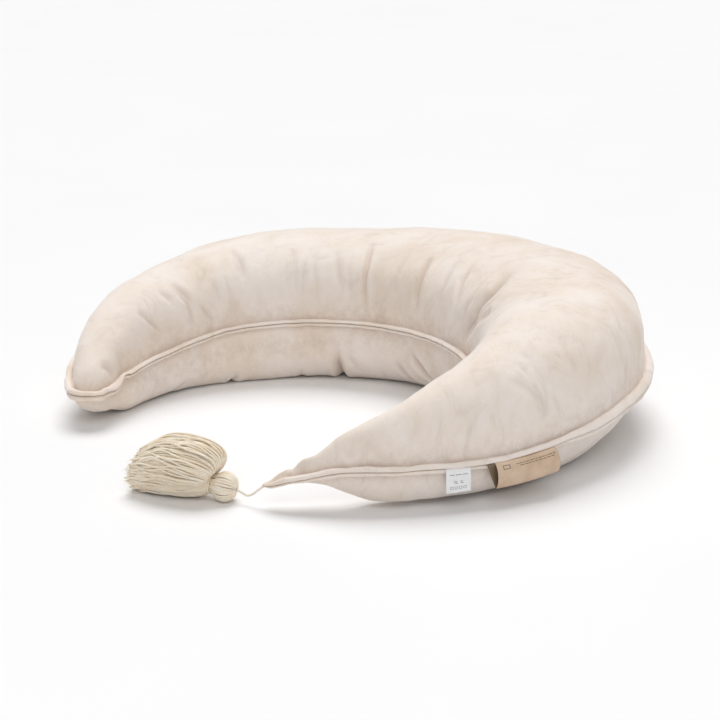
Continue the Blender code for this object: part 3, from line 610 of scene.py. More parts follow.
def arm_rows(arm, share):
    """The sections of one arm at an array of shares."""
    outer = arc_point(OUTER_CENTRE_Y, OUTER_RADIUS,
                      arm.side * share * math.radians(arm.outer_sweep))
    inner = arc_point(INNER_CENTRE_Y, INNER_RADIUS,
                      arm.side * share * math.radians(arm.inner_sweep))
    span = (outer - inner) / 2
    length = np.linalg.norm(span, axis=1)
    half_width = length * np.maximum(0, 1 - share ** arm.taper_power) ** arm.taper_round
    stuffed = np.ones_like(share)
    tip = np.zeros_like(share)
    seam_out = ease(arm.outer_seam, share)
    seam_in = ease(arm.inner_seam, share)
    if arm.stuffed_share < 1:
        stuffed = np.clip((arm.stuffed_share - share) / STUFFING_FADE, 0, 1)
        tip = TIP_FULLNESS * np.exp(-((share - TIP_FULLEST) / TIP_SPREAD) ** 2)
        tip = tip * np.clip((TAIL_START - share) / TAIL_FADE, 0, 1)
        leaf = smoothstep(*LEAF_GROWS, share) * (1 - smoothstep(*LEAF_ENDS, share))
        seam_in = seam_in + LEAF_RISE * leaf
    gain = 1 + (arm.crown_gain - 1) * smoothstep(0, GAIN_BLEND, share)
    crown = CROWN_HEIGHT * gain * np.maximum(0, 1 - share ** arm.crown_power) ** arm.crown_round
    lift = arm.belly_lift * np.maximum(0, (share - LIFT_FROM) / (1 - LIFT_FROM)) ** 2
    if arm is PLAIN_ARM:
        lift = lift + PLAIN_TIP_LIFT * smoothstep(0.87, 0.95, share)
        drop = PLAIN_TIP_DROP * smoothstep(0.90, 1.0, share)
        seam_out, seam_in = seam_out - drop, seam_in - drop
    lift = np.minimum(lift, MOST_LIFT * np.minimum(seam_in, seam_out))
    tuck = bulge_in = np.zeros_like(share)
    if arm is TASSEL_ARM:
        tuck = smoothstep(*TUCK_GROWS, share) * (1 - 0.6 * smoothstep(*TUCK_EASES, share))
    else:
        bulge_in = smoothstep(*BULGE_GROWS, share) * (1 - smoothstep(*BULGE_ENDS, share))
    belly = BELLY_DEPTH_GAIN * np.minimum(1, half_width / FULL_BELLY_WIDTH) * np.sqrt(stuffed)
    across = span / length[:, None]
    centre = (outer + inner) / 2
    reach = np.full_like(share, FLANGE_WIDTH)
    if arm.stuffed_share < 1:
        along = np.clip((share - arm.stuffed_share) / (1 - arm.stuffed_share), 0, 1)
        reach = FLANGE_WIDTH * (1 - TAIL_TAPER * along)
    return dict(share=share, side=np.full_like(share, arm.side), centre=centre, across=across,
                half_width=half_width, seam_in=seam_in, seam_out=seam_out,
                crown=crown * np.sqrt(stuffed) + tip, belly=belly, lift=lift, reach=reach,
                tuck=tuck, bulge_in=bulge_in)


def edge_normals(line, inward_hint):
    """The plan direction away from the pillow along one seam."""
    tangent = unit(np.gradient(line, axis=0))
    normal = np.stack([tangent[:, 1], -tangent[:, 0]], axis=1)
    flip = np.sign(np.sum(normal * inward_hint, axis=1))
    flip[flip == 0] = 1
    return normal * flip[:, None]


def slit_shares():
    """Shares of the plain arm's outer sweep at which the zip's slit starts and ends."""
    return (-(ZIP_START + SLIT_SLACK) / PLAIN_ARM.outer_sweep,
            (ZIP_SWEEP - ZIP_START + SLIT_SLACK) / PLAIN_ARM.outer_sweep)


def plan_edges(rows):
    """The outer and the inner seam in plan."""
    half = rows["across"] * rows["half_width"][:, None]
    return rows["centre"] + half, rows["centre"] - half


def make_rows(step):
    """Sections all along the crescent, a step apart, from the plain tip to the tasselled one."""
    fine = 1 - (1 - np.linspace(0, 1, 6001)) ** 2.4
    shares = {}
    for arm in (PLAIN_ARM, TASSEL_ARM):
        rows = arm_rows(arm, fine)
        outer, inner = plan_edges(rows)
        moved = np.maximum(np.linalg.norm(np.diff(outer, axis=0), axis=1),
                           np.linalg.norm(np.diff(inner, axis=0), axis=1))
        moved = np.maximum(moved, np.abs(np.diff(rows["crown"])) * 0.7)
        along = np.concatenate([[0], np.cumsum(moved)])
        count = int(round(along[-1] / step))
        even = np.interp(np.linspace(0, along[-1], count + 1), along, fine)
        if arm is PLAIN_ARM:
            for wanted in slit_shares():
                even[np.argmin(np.abs(even - wanted))] = wanted
        shares[arm.side] = even
    plain = arm_rows(PLAIN_ARM, shares[-1][:0:-1])
    tassel = arm_rows(TASSEL_ARM, shares[1])
    both = {key: np.concatenate([plain[key], tassel[key]]) for key in plain}
    outer, inner = plan_edges(both)
    both["outer_edge"], both["inner_edge"] = outer, inner
    both["outer_normal"] = edge_normals(outer, both["across"])
    both["inner_normal"] = edge_normals(inner, -both["across"])
    ahead = unit(both["centre"][0] - both["centre"][6])
    for key in ("outer_normal", "inner_normal"):
        for row, share in ((0, 1.0), (1, 0.6), (2, 0.25)):
            both[key][row] = unit(ahead * share + both[key][row] * (1 - share))
    both["place"] = both["share"] * both["side"]
    return Rows(**both)


def body_points(rows, angles, side, inset=0.0, rim=SEAM_RIM):
    """One panel's surface over the stuffing: an (n, m, 3) grid from the inner to the outer seam."""
    reach = -np.cos(angles)[None, :]
    bulge = np.maximum(0, np.sin(angles))[None, :]
    width = np.maximum(0, rows.half_width - inset)[:, None]
    plan = rows.centre[:, None] + rows.across[:, None] * (width * reach)[..., None]
    seam_in, seam_out = rows.seam_in[:, None], rows.seam_out[:, None]
    seam = seam_in * (1 - reach) / 2 + seam_out * (1 + reach) / 2
    slimmer = np.minimum(1, width / np.maximum(rows.half_width[:, None], 1e-6))
    if side > 0:
        rise = np.maximum(0, rows.crown[:, None] - max(0.0, inset)) * slimmer
        height = seam + rim + rise * bulge ** CROWN_FULLNESS
    else:
        inner, outer = np.clip(-reach, 0, 1) ** 0.5, np.clip(reach, 0, 1) ** 0.5
        tuck, swell = rows.tuck[:, None] * outer, rows.bulge_in[:, None] * inner
        fullness = (BELLY_FULLNESS + OUTER_TUCK * tuck - INNER_FULLNESS * inner
                    - BULGE_FULLNESS * swell)
        depth = rows.belly[:, None] * (1 + INNER_DEPTH_GAIN * inner - OUTER_TUCK_THINNING * tuck)
        drop = (seam - rows.lift[:, None]) * depth * slimmer * bulge ** fullness
        floor = rows.lift[:, None] + inset + OUTER_TUCK_LIFT * tuck
        height = np.maximum(seam - rim - drop, np.minimum(floor, seam - rim))
        below = np.clip((seam - rim - height) / np.maximum(seam, 1e-6), 0, 1)
        push = (INNER_BULGE * rows.bulge_in[:, None] * np.sin(np.pi * below ** 0.8)
                * (reach < 0) * inner)
        plan = plan - rows.across[:, None] * push[..., None]
    return np.concatenate([plan, height[..., None]], axis=2)


def seam_length(rows, edge):
    """Distance along one seam at each row."""
    return distances(rows.outer_edge if edge > 0 else rows.inner_edge)


def tip_kink(along):
    """A short S in the inner edge near the plain tip, where the flange is gathered in."""
    return (0.0042 * np.exp(-((along - 0.052) / 0.008) ** 2)
            - 0.0036 * np.exp(-((along - 0.034) / 0.009) ** 2)
            + 0.0014 * np.sin(along * 900) * np.exp(-(along / 0.026) ** 2))


def lip_points(rows, edge, side):
    """One rolled lip of the flange beside one seam, with soft puckers: an (n, m, 3) grid."""
    line = rows.outer_edge if edge > 0 else rows.inner_edge
    normal = rows.outer_normal if edge > 0 else rows.inner_normal
    seam = rows.seam_out if edge > 0 else rows.seam_in
    along = seam_length(rows, edge)
    profile = np.array(TOP_LIP if side > 0 else BOTTOM_LIP)
    seed = 3 + edge + 4 * side
    crumple = 1 + 1.8 * smoothstep(0.90, 0.97, -rows.place) + 0.3 * smoothstep(0.6, 0.9, rows.place)
    crumple = crumple * smoothstep(0.0, 0.016, along)
    width = 1 + crumple * waves(along, (0.06, 45, seed), (0.04, 130, seed + 1))
    height = 1 + crumple * waves(along, (0.20, 50, seed + 2), (0.16, 110, seed + 3))
    wave = crumple * waves(along, (0.0008, 30, edge + 20), (0.0004, 90, edge + 22))
    along_tail = np.clip((rows.place - TAIL_START) / (1 - TAIL_START), 0, 1)
    tail = smoothstep(TAIL_START - 0.02, TAIL_START + 0.004, rows.place)
    height = height * (1 + 0.10 * tail * side) * (1 - 0.62 * along_tail ** 3.0)
    if side < 0:
        height = height * (1 - 0.30 * smoothstep(0.92, 0.95, rows.place) * (1 - along_tail))
    wave = wave * (1 - tail) + tip_kink(along) * (edge < 0)
    if edge < 0:
        flatter = smoothstep(0.0, 0.05, along)
        height = height * (1 - (0.34 if side > 0 else 0.30) * flatter)
    elif side < 0:
        tucked = 1 - 0.22 * smoothstep(0.50, 0.60, rows.place)
        width, height = width * tucked, height * tucked
    droop = 0.0
    if edge > 0:
        droop = 0.55 * (smoothstep(0.12, 0.24, rows.place) - smoothstep(0.50, 0.58, rows.place))
        width = width * (1 + 0.10 * droop)
    out = profile[:, 0][None, :] * (width * rows.reach / FLANGE_WIDTH)[:, None]
    up = profile[:, 1][None, :] * height[:, None]
    groove = np.exp(-(profile[:, 0] / 0.0015) ** 2)[None, :] * tail[:, None]
    up = up + groove * 0.0010 * (profile[:, 1] > 0.0005)[None, :]
    plan = line[:, None] + normal[:, None] * out[..., None]
    lean = wave[:, None] * (profile[:, 0] / FLANGE_WIDTH)[None, :]
    lean = lean - np.broadcast_to(droop, along.shape)[:, None] * profile[:, 0][None, :]
    return np.concatenate([plan, (seam[:, None] + lean + side * up)[..., None]], axis=2)


def grid_normals(grid):
    """Unit normals of a grid of points, by differences along its rows and columns."""
    along = np.gradient(grid, axis=0)
    across = np.gradient(grid, axis=1)
    return unit(np.cross(along, across))


def drop_angle(drop):
    """Section angle at which the plain arm's bottom panel is this far below its outer seam."""
    height = PLAIN_ARM.outer_seam[0][1]
    share = (drop - SEAM_RIM) / (height * BELLY_DEPTH_GAIN)
    return math.pi - math.asin(share ** (1 / BELLY_FULLNESS))


SLIT_ANGLES = (drop_angle(SLIT_TOP), drop_angle(SLIT_BOTTOM))


def body_angles(side):
    """Section angles across a panel, closer together by the seams; the slit's edges are on two."""
    even = np.linspace(0, 1, BODY_COLUMNS + 1)
    angles = np.pi * (even - 0.5 * np.sin(2 * np.pi * even) / (2 * np.pi))
    if side < 0:
        low = SLIT_ANGLES[1]
        angles = np.concatenate([angles[angles < low - 0.03], [low, SLIT_ANGLES[0]],
                                 [(SLIT_ANGLES[0] + math.pi) / 2, math.pi]])
    return angles


ROWS = make_rows(ROW_STEP)

# ---- Creases: each from one (place, angle) to another, with its width and depth ------------------
# place runs from -1 at the plain tip to 1 at the tasselled one, and angle from the inner seam (0)
# to the outer one (180).
Crease = namedtuple("Crease", "route width depth")
TOP_CREASES = tuple(Crease(*values) for values in (
    (((-0.262, 64), (-0.237, 33), (-0.225, 3)), 0.0026, 0.0050),
    (((-0.100, 52), (-0.086, 31), (-0.074, 4)), 0.0036, 0.0036),
    (((-0.027, 52), (-0.007, 28), (-0.002, 10)), 0.0045, 0.0022),
    (((0.020, 56), (0.047, 36), (0.073, 16)), 0.0036, 0.0032),
    (((0.155, 64), (0.190, 40), (0.170, 15), (0.110, 1)), 0.0110, 0.0065),
    (((0.175, 56), (0.190, 28), (0.130, 3)), 0.0030, 0.0026),
    (((0.260, 42), (0.214, 19), (0.140, 3)), 0.0036, 0.0024),
    (((0.315, 38), (0.207, 13), (0.135, 1)), 0.0034, 0.0020),
    (((0.120, 52), (0.135, 26), (0.105, 4)), 0.0030, 0.0018),
    (((-0.417, 60), (-0.390, 7)), 0.0034, 0.0014),
    (((-0.385, 45), (-0.380, 7)), 0.0030, 0.0014),
    (((-0.363, 42), (-0.343, 7)), 0.0030, 0.0012),
    (((-0.324, 54), (-0.284, 12)), 0.0044, 0.0018),
    (((-0.284, 42), (-0.257, 7)), 0.0030, 0.0012),
    (((-0.160, 58), (-0.150, 14)), 0.0040, 0.0013),
    (((-0.706, 58), (-0.674, 35), (-0.654, 20)), 0.0032, 0.0024),
    (((-0.702, 47), (-0.671, 24), (-0.657, 5)), 0.0032, 0.0030),
    (((-0.737, 54), (-0.713, 31)), 0.0034, 0.0018),
    (((-0.815, 47), (-0.780, 24), (-0.750, 10)), 0.0032, 0.0024),
    (((-0.556, 72), (-0.534, 50), (-0.520, 26)), 0.0038, 0.0024),
    (((-0.603, 38), (-0.581, 14)), 0.0044, 0.0018),
    (((-0.640, 19), (-0.600, 2)), 0.0034, 0.0024),
    (((-0.972, 48), (-0.948, 6)), 0.0045, 0.0024),
    (((0.604, 117), (0.610, 138)), 0.0022, 0.0013),
    (((0.583, 158), (0.574, 174)), 0.0030, 0.0018),
    (((0.638, 128), (0.597, 165)), 0.0045, 0.0013),
    (((0.882, 148), (0.875, 172)), 0.0028, 0.0014),
    (((0.700, 150), (0.715, 172)), 0.0040, 0.0012),
    (((0.780, 140), (0.800, 170)), 0.0040, 0.0011),
))
BOTTOM_CREASES = tuple(Crease(*values) for values in (
    (((-0.286, 5), (-0.292, 23), (-0.311, 60)), 0.0040, 0.0065),
    (((-0.095, 5), (-0.066, 16), (-0.040, 30)), 0.0034, 0.0048),
    (((-0.138, 13), (-0.123, 27), (-0.105, 44)), 0.0036, 0.0036),
    (((-0.382, 15), (-0.400, 49)), 0.0034, 0.0015),
    (((-0.545, 14), (-0.564, 38), (-0.595, 60)), 0.0038, 0.0032),
    (((-0.684, 11), (-0.711, 24), (-0.738, 40)), 0.0034, 0.0026),
    (((-0.262, 8), (-0.243, 22)), 0.0032, 0.0018),
))


def unseen_creases(side, count):
    """Short creases at random down the outer side, where the stuffed tube bends."""
    rng = random.Random(40 + side)
    made = []
    for _ in range(count):
        place = rng.uniform(-0.88, 0.42)
        lean = rng.uniform(-0.02, 0.02)
        first, last = rng.uniform(112, 150), rng.uniform(164, 176)
        if side < 0:
            first, last = rng.uniform(128, 150), rng.uniform(160, 171)
            if -0.44 < place < -0.02:    # clear of the zip
                last = min(last, 165)
        route = ((place, first), (place + lean * 0.4, (first + last) / 2), (place + lean, last))
        made.append(Crease(route, rng.uniform(0.0030, 0.0055), rng.uniform(0.0012, 0.0030)))
    return tuple(made)


TOP_CREASES += unseen_creases(1, 22)
BOTTOM_CREASES += unseen_creases(-1, 16)


def crease_relief(grid, surface, creases):
    """How far the creases pull a grid's points inwards (negative) or push them up beside them, and
    how much painted shade lies along each crease's line.
    """
    relief = np.zeros(grid.shape[:2])
    crease_shade = np.zeros(grid.shape[:2])
    for crease in creases:
        knots = np.linspace(0, 1, len(crease.route))
        steps = np.linspace(0, 1, 6 * (len(crease.route) - 1) + 1)
        places = np.interp(steps, knots, [point[0] for point in crease.route])
        angles = np.radians(np.interp(steps, knots, [point[1] for point in crease.route]))
        line = np.array([surface(place, angle) for place, angle in zip(places, angles)])
        reach = 5 * crease.width + line_length(line) / 2
        near = np.linalg.norm(grid - line[len(line) // 2], axis=2) < reach + 0.02
        points = grid[near]
        away = np.full(len(points), 1.0)
        nearest = np.zeros(len(points))
        for k in range(len(line) - 1):
            a, b = line[k], line[k + 1]
            t = np.clip(((points - a) @ (b - a)) / max(np.dot(b - a, b - a), 1e-12), 0, 1)
            gap = np.linalg.norm(points - (a + t[:, None] * (b - a)), axis=1)
            closer = gap < away
            away = np.where(closer, gap, away)
            nearest = np.where(closer, (k + t) / (len(line) - 1), nearest)
        fade = np.sin(np.pi * np.clip(nearest, 0.02, 0.98)) ** 0.7
        dip = 1.25 * np.exp(-(away / crease.width) ** 1.5)
        shoulder = np.exp(-((away - 2.2 * crease.width) / (1.2 * crease.width)) ** 2)
        relief[near] += fade * crease.depth * (0.35 * shoulder - dip)
        # painted shade along the crease's line, darker for deeper creases
        line_share = np.exp(-(away / (0.75 * crease.width)) ** 2) * min(1.0, crease.depth / 0.0045)
        crease_shade[near] = np.maximum(crease_shade[near], fade * line_share)
    return relief, crease_shade


def surface_reader(side):
    """A function that gives the panel's point at a place and a section angle."""
    def read(place, angle):
        arm = TASSEL_ARM if place >= 0 else PLAIN_ARM
        rows = arm_rows(arm, np.array([abs(place)]))
        view = Rows(place=None, outer_edge=None, inner_edge=None, outer_normal=None,
                    inner_normal=None, **rows)
        return body_points(view, np.array([angle]), side)[0, 0]
    return read


def velvet_relief(grid, rows, side):
    """Lumps of filling, puckers from the seams and the creases, as heights along the normal."""
    lengths = np.linalg.norm(np.diff(grid, axis=1), axis=2)
    across = np.concatenate([np.zeros((len(grid), 1)), np.cumsum(lengths, axis=1)], axis=1)
    width = across[:, -1:]
    from_outer = width - across
    room = smoothstep(0, 0.018, np.minimum(across, from_outer)) * smoothstep(0.02, 0.09, width)
    lumps = sum(height * noise_field(grid, scale, seed + side)
                for height, scale, seed in ((0.0030, 11, 1), (0.0013, 28, 3), (0.0004, 75, 5)))
    relief = lumps * room
    for edge, distance in ((-1, across), (1, from_outer)):
        along = seam_length(rows, edge)[:, None]
        bend = along + 0.25 * distance * noise_line(along, 24, 5 + edge)
        ripple = np.abs(noise_line(bend, 48, 30 + edge + side)) * 2.2 - 0.6
        fine = noise_line(bend, 120, 40 + edge + side)
        strength = 0.6 + 0.8 * smoothstep(-0.2, 0.6, noise_line(along, 9, 50 + edge))
        fade = np.exp(-distance / 0.015) * (1 - np.exp(-distance / 0.0025))
        short = np.exp(-distance / 0.006) * (1 - np.exp(-distance / 0.0012))
        relief -= strength * (0.0030 * np.clip(ripple, -0.3, 1.3) * fade + 0.0012 * fine * short)
    relief *= smoothstep(0.004, 0.03, width)
    if side < 0:
        relief *= 1 - zip_nearness(rows)[:, None] * np.exp(-(from_outer / 0.020) ** 4)
    return relief


def zip_nearness(rows):
    """1 beside the zip and 0 well past its ends."""
    start, end = slit_shares()
    return (smoothstep(-end - 0.02, -end - 0.005, rows.place)
            * smoothstep(-start + 0.02, -start + 0.005, rows.place))


def panel_sheet(side):
    """The whole velvet sheet of one panel: rolled edge, body, rolled edge."""
    angles = body_angles(side)
    body = body_points(ROWS, angles, side)
    if side > 0:
        body[:, 0, 2] = ROWS.seam_in + TOP_LIP[0][1]
        body[:, -1, 2] = ROWS.seam_out + TOP_LIP[0][1]
    normals = grid_normals(body)
    if normals[len(normals) // 2, len(angles) // 2, 2] * side < 0:
        normals = -normals
    relief = velvet_relief(body, ROWS, side)
    body = body + normals * relief[..., None]
    along_tail = np.clip((ROWS.place - TAIL_START) / (1 - TAIL_START), 0, 1)
    flat = smoothstep(TAIL_START - 0.01, TAIL_START + 0.012, ROWS.place)
    flat *= 1 - 0.85 * along_tail ** 1.5
    body[:, 1:-1, 2] += side * (TAIL_FILL_TOP if side > 0 else TAIL_FILL_BOTTOM) * flat[:, None]
    if side < 0:
        body[..., 2] = np.maximum(body[..., 2], FLOOR_GAP)
    inner = lip_points(ROWS, -1, side)[:, ::-1]
    outer = lip_points(ROWS, 1, side)
    return np.concatenate([inner, body[:, 1:-1], outer], axis=1)


def close_tips(sheet):
    """Close the tasselled tip with rows that draw the sheet to a point; the plain tip is closed."""
    last = sheet[-1]
    centre = last.mean(axis=0)
    ahead = unit(np.array([*(centre - sheet[-5].mean(axis=0))[:2], 0.0]))
    seam = ROWS.seam_out[-1]
    extra = []
    for turn in (30, 55, 75, 90):
        shrink = math.cos(math.radians(turn))
        row = centre + (last - centre) * np.array([shrink, shrink, 1.0])
        row[:, 2] = seam + (last[:, 2] - seam) * shrink
        extra.append(row + ahead * 0.0034 * math.sin(math.radians(turn)))
    return np.concatenate([sheet, np.array(extra)], axis=0)


def seam_nearness(sheet):
    """1 in the flange's groove, falling to 0 about 30 mm away over the body; it sets where the
    velvet gets painted shade beside the seams.
    """
    lip = len(TOP_LIP)
    across = np.cumsum(np.linalg.norm(np.diff(sheet, axis=1, prepend=sheet[:, :1]), axis=2), axis=1)
    start, end = across[:, lip:lip + 1], across[:, -lip - 1:-lip]
    gap = np.minimum(np.abs(across - start), np.abs(across - end))
    nearness = np.exp(-(gap / 0.016) ** 1.3)
    # the rolled lips get less of the painted shade
    nearness[:, :lip - 1] *= 0.30
    nearness[:, 1 - lip:] *= 0.30
    return nearness


def slit_faces(sheet, angles):
    """Which of the bottom sheet's faces the zip's slit takes away."""
    start, end = slit_shares()
    mask = np.zeros((sheet.shape[0] - 1, sheet.shape[1] - 1), bool)
    rows = np.where((ROWS.place > -end - 1e-6) & (ROWS.place < -start - 1e-6))[0]
    column = len(BOTTOM_LIP) - 1 + int(np.argmin(np.abs(angles - SLIT_ANGLES[1])))
    mask[rows, column] = True
    return mask


def turn_in_hem(mesh, depth):
    """Turn the slit's edges in by this much, as a hem; gives the indices of the slit's edge."""
    def beside_zip(vert):
        return abs(vert.co.z - ZIP_Z) < 0.006 and vert.co.y > -0.08 and vert.co.x < -0.02

    with editing(mesh) as bm:
        edges = [e for e in bm.edges if e.is_boundary and all(beside_zip(v) for v in e.verts)]
        held = [v.index for e in edges for v in e.verts]
        for share, spread in ((0.25, -0.0002), (0.75, 0.0002)):
            extruded = bmesh.ops.extrude_edge_only(bm, edges=edges)["geom"]
            edges = [g for g in extruded if isinstance(g, bmesh.types.BMEdge) and g.is_boundary]
            for vert in {v for e in edges for v in e.verts}:
                away = Vector((vert.co.x, vert.co.y - OUTER_CENTRE_Y, 0.0)).normalized()
                vert.co -= away * depth * share
                vert.co.z += math.copysign(spread, vert.co.z - ZIP_Z)
    mesh.shade_smooth()
    return sorted(set(held))


def settle(piece, pinned, cap):
    """Let the velvet, cut a little too large, settle over the filling; cap is the furthest move."""
    base = np.array([v.co[:] for v in piece.data.vertices])
    group = piece.vertex_groups.new(name="pin")
    group.add([int(i) for i in pinned], 1.0, "REPLACE")
    cloth = piece.modifiers.new("cloth", "CLOTH")
    for key, value in (("quality", 5), ("mass", 0.25), ("tension_stiffness", 14),
                       ("compression_stiffness", 14), ("shear_stiffness", 6),
                       ("bending_stiffness", 0.6), ("use_pressure", True),
                       ("uniform_pressure_force", 4), ("vertex_group_mass", "pin"),
                       ("shrink_min", -SIM_GROWTH)):
        setattr(cloth.settings, key, value)
    cloth.settings.effector_weights.gravity = 0
    cloth.collision_settings.use_collision = False
    cloth.collision_settings.use_self_collision = False
    cloth.point_cache.frame_end = SIM_FRAMES
    scene = bpy.context.scene
    for step in range(1, SIM_FRAMES + 1):
        scene.frame_set(step)
    done = piece.evaluated_get(bpy.context.evaluated_depsgraph_get())
    moved = np.array([v.co[:] for v in done.data.vertices]) - base
    piece.modifiers.remove(cloth)
    piece.vertex_groups.remove(group)
    scene.frame_set(1)
    length = np.linalg.norm(moved, axis=1, keepdims=True)
    moved *= cap * np.tanh(length / cap) / np.maximum(length, 1e-9)
    base += moved
    piece.data.vertices.foreach_set("co", base.ravel())
    piece.data.update()


def press_creases(piece, sheet, side):
    """Press the creases into a panel's body, keep it on the floor, and store the painted shade
    along the creases.
    """
    angles = body_angles(side)
    rows, lip = len(ROWS.place), len(TOP_LIP)
    plain = body_points(ROWS, angles, side)[:, 1:-1]
    relief, crease_shade = crease_relief(plain, surface_reader(side),
                                  TOP_CREASES if side > 0 else BOTTOM_CREASES)
    relief *= smoothstep(0.0, 0.004, np.linalg.norm(plain - plain[:, :1], axis=2))
    relief *= smoothstep(0.0, 0.004, np.linalg.norm(plain - plain[:, -1:], axis=2))
    if side < 0:
        relief *= 1 - zip_nearness(ROWS)[:, None] * (angles[1:-1] > SLIT_ANGLES[1] - 0.25)[None, :]
    coordinates = np.empty(len(piece.data.vertices) * 3)
    piece.data.vertices.foreach_get("co", coordinates)
    coordinates = coordinates.reshape(-1, 3)
    count = sheet.shape[0] * sheet.shape[1]
    grid = coordinates[:count].reshape(sheet.shape)
    body = grid[:rows, lip:-lip]
    normals = grid_normals(plain)
    middle = normals[len(normals) // 2, normals.shape[1] // 2, 2]
    body += normals * (relief * np.sign(middle) * side)[..., None]
    grid[:rows, lip:-lip] = body
    if side < 0:
        coordinates[:, 2] = np.maximum(coordinates[:, 2], FLOOR_GAP)
    piece.data.vertices.foreach_set("co", coordinates.ravel())
    # the painted shade along the creases, stored for the velvet to read
    shade = np.zeros(sheet.shape[:2])
    shade[:rows, lip:-lip] = crease_shade
    values = np.zeros(len(piece.data.vertices))
    values[:count] = shade.ravel()
    store(piece.data, "crease_shade", values)
    piece.data.update()


def build_cover():
    """Both velvet panels."""
    for name, node, side in (("velvet_top", "cover_top_panel", 1),
                             ("velvet_bottom", "cover_bottom_panel", -1)):
        sheet = close_tips(panel_sheet(side))
        lip = len(TOP_LIP)
        held = np.zeros(sheet.shape[:2], bool)
        held[:, :lip] = held[:, -lip:] = True
        held[:HELD_AT_PLAIN_TIP] = held[-HELD_AT_TAIL:] = True
        skipped = slit_faces(sheet, body_angles(side)) if side < 0 else None
        mesh = grid_mesh(name, sheet, skipped, flip=side > 0)
        store(mesh, "seam_nearness", seam_nearness(sheet).ravel())
        pinned = list(np.where(held.ravel())[0])
        if side < 0:
            pinned += turn_in_hem(mesh, HEM_DEPTH)
            pinned += range(sheet.shape[0] * sheet.shape[1], len(mesh.vertices))
        piece = add_piece(mesh, "velvet", "pillow", node)
        settle(piece, pinned, SIM_CAP if side > 0 else SIM_CAP_BELOW)
        press_creases(piece, sheet, side)
        subdivide(piece)


def subdivide(piece):
    """Give a piece one level of Catmull-Clark subdivision, in the view and the render alike."""
    smooth = piece.modifiers.new("smooth", "SUBSURF")
    smooth.levels = smooth.render_levels = 1


build_cover()


# ---- Stitches, lining and filling ----------------------------------------------------------------
def stitches(line, pitch, length, dip):
    """Short thread paths along a line, whose ends go down by dip (a vector)."""
    dense = resample(line, max(2, int(line_length(line) / (length / 4))))
    step = int(round(pitch / (length / 4)))
    paths = []
    for start in range(0, len(dense) - 5, step):
        path = dense[start:start + 5].copy()
        path[0] += dip
        path[-1] += dip
        paths.append(path)
    return paths


def build_flange_stitches():
    """The row of stitches that holds each panel's rolled lip, in the groove beside the stuffing."""
    for name, side in (("flange_stitches_top", 1), ("flange_stitches_bottom", -1)):
        paths = []
        for edge in (-1, 1):
            lip = lip_points(ROWS, edge, side)
            groove = lip[4:-6, 0] * 0.55 + lip[4:-6, 1] * 0.45 + np.array([0, 0, 0.00015 * side])
            paths += stitches(groove, 0.0036, 0.0024, np.array([0, 0, -0.0006 * side]))
        add_tubes(name, paths, [0.00022] * len(paths), 5, "thread", "pillow")


def inset_rows(inset, narrowest, every):
    """The rows that are wide enough for a layer inside the cover."""
    wide = np.where(ROWS.half_width > inset + narrowest)[0]
    picked = wide[::every]
    return Rows(*(field[picked] for field in ROWS))


def build_lining():
    """The cotton case, a top and a bottom with a seam all round, loose inside the velvet."""
    rows = inset_rows(LINING_INSET, 0.006, 3)
    angles = np.linspace(0, np.pi, 25)
    seam = None
    for name, node, side in (("lining_top", "inner_case_top", 1),
                             ("lining_bottom", "inner_case_bottom", -1)):
        grid = body_points(rows, angles, side, LINING_INSET, 0.0)
        puffy = 0.0012 * noise_field(grid, 26, 60 + side) * np.sin(angles)[None, :]
        grid[..., 2] -= side * np.abs(puffy)
        piece = add_piece(grid_mesh(name, grid, flip=side > 0), "lining", "pillow",
                          node)
        subdivide(piece)
        seam = (grid[:, 0], grid[:, -1]) if seam is None else seam
    dip = np.array([0, 0, -0.0004])
    paths = [path for line in seam for path in stitches(line, 0.0045, 0.0030, dip)]
    add_tubes("lining_seam", paths, [0.0003] * len(paths), 5, "thread", "pillow")


def build_filling():
    """The wad of loose fibre inside the lining."""
    rows = inset_rows(FILLING_INSET, 0.022, 3)
    angles = np.linspace(0, np.pi, 21)
    top = body_points(rows, angles, 1, FILLING_INSET, 0.0)
    bottom = body_points(rows, angles, -1, FILLING_INSET, 0.0)
    ring = np.concatenate([top, bottom[:, -2:0:-1]], axis=1)
    middle = ring.mean(axis=1, keepdims=True)
    lump = 0.035 + 0.045 * noise_field(ring, 45, 70) + 0.03 * noise_field(ring, 110, 71)
    ring = ring + (middle - ring) * np.clip(lump, 0, 0.2)[..., None]
    ends = [np.repeat(ring[k].mean(axis=0)[None, None], ring.shape[1], axis=1) for k in (0, -1)]
    mesh = grid_mesh("loose_fibre", np.concatenate([ends[0], ring, ends[1]]), close_columns=True,
                     weld=0.00001)
    face_outwards(mesh)
    piece = add_piece(mesh, "fibre", "pillow", "fibre_filling")
    subdivide(piece)


# ---- Zip ----------------------------------------------------------------------------------------
def zip_point(angle, depth, height):
    """A point beside the zip, in from the cover's outer surface by depth."""
    radius = OUTER_RADIUS - depth
    return np.stack([radius * np.sin(angle), OUTER_CENTRE_Y + radius * np.cos(angle),
                     ZIP_Z + height + 0 * angle], axis=-1)


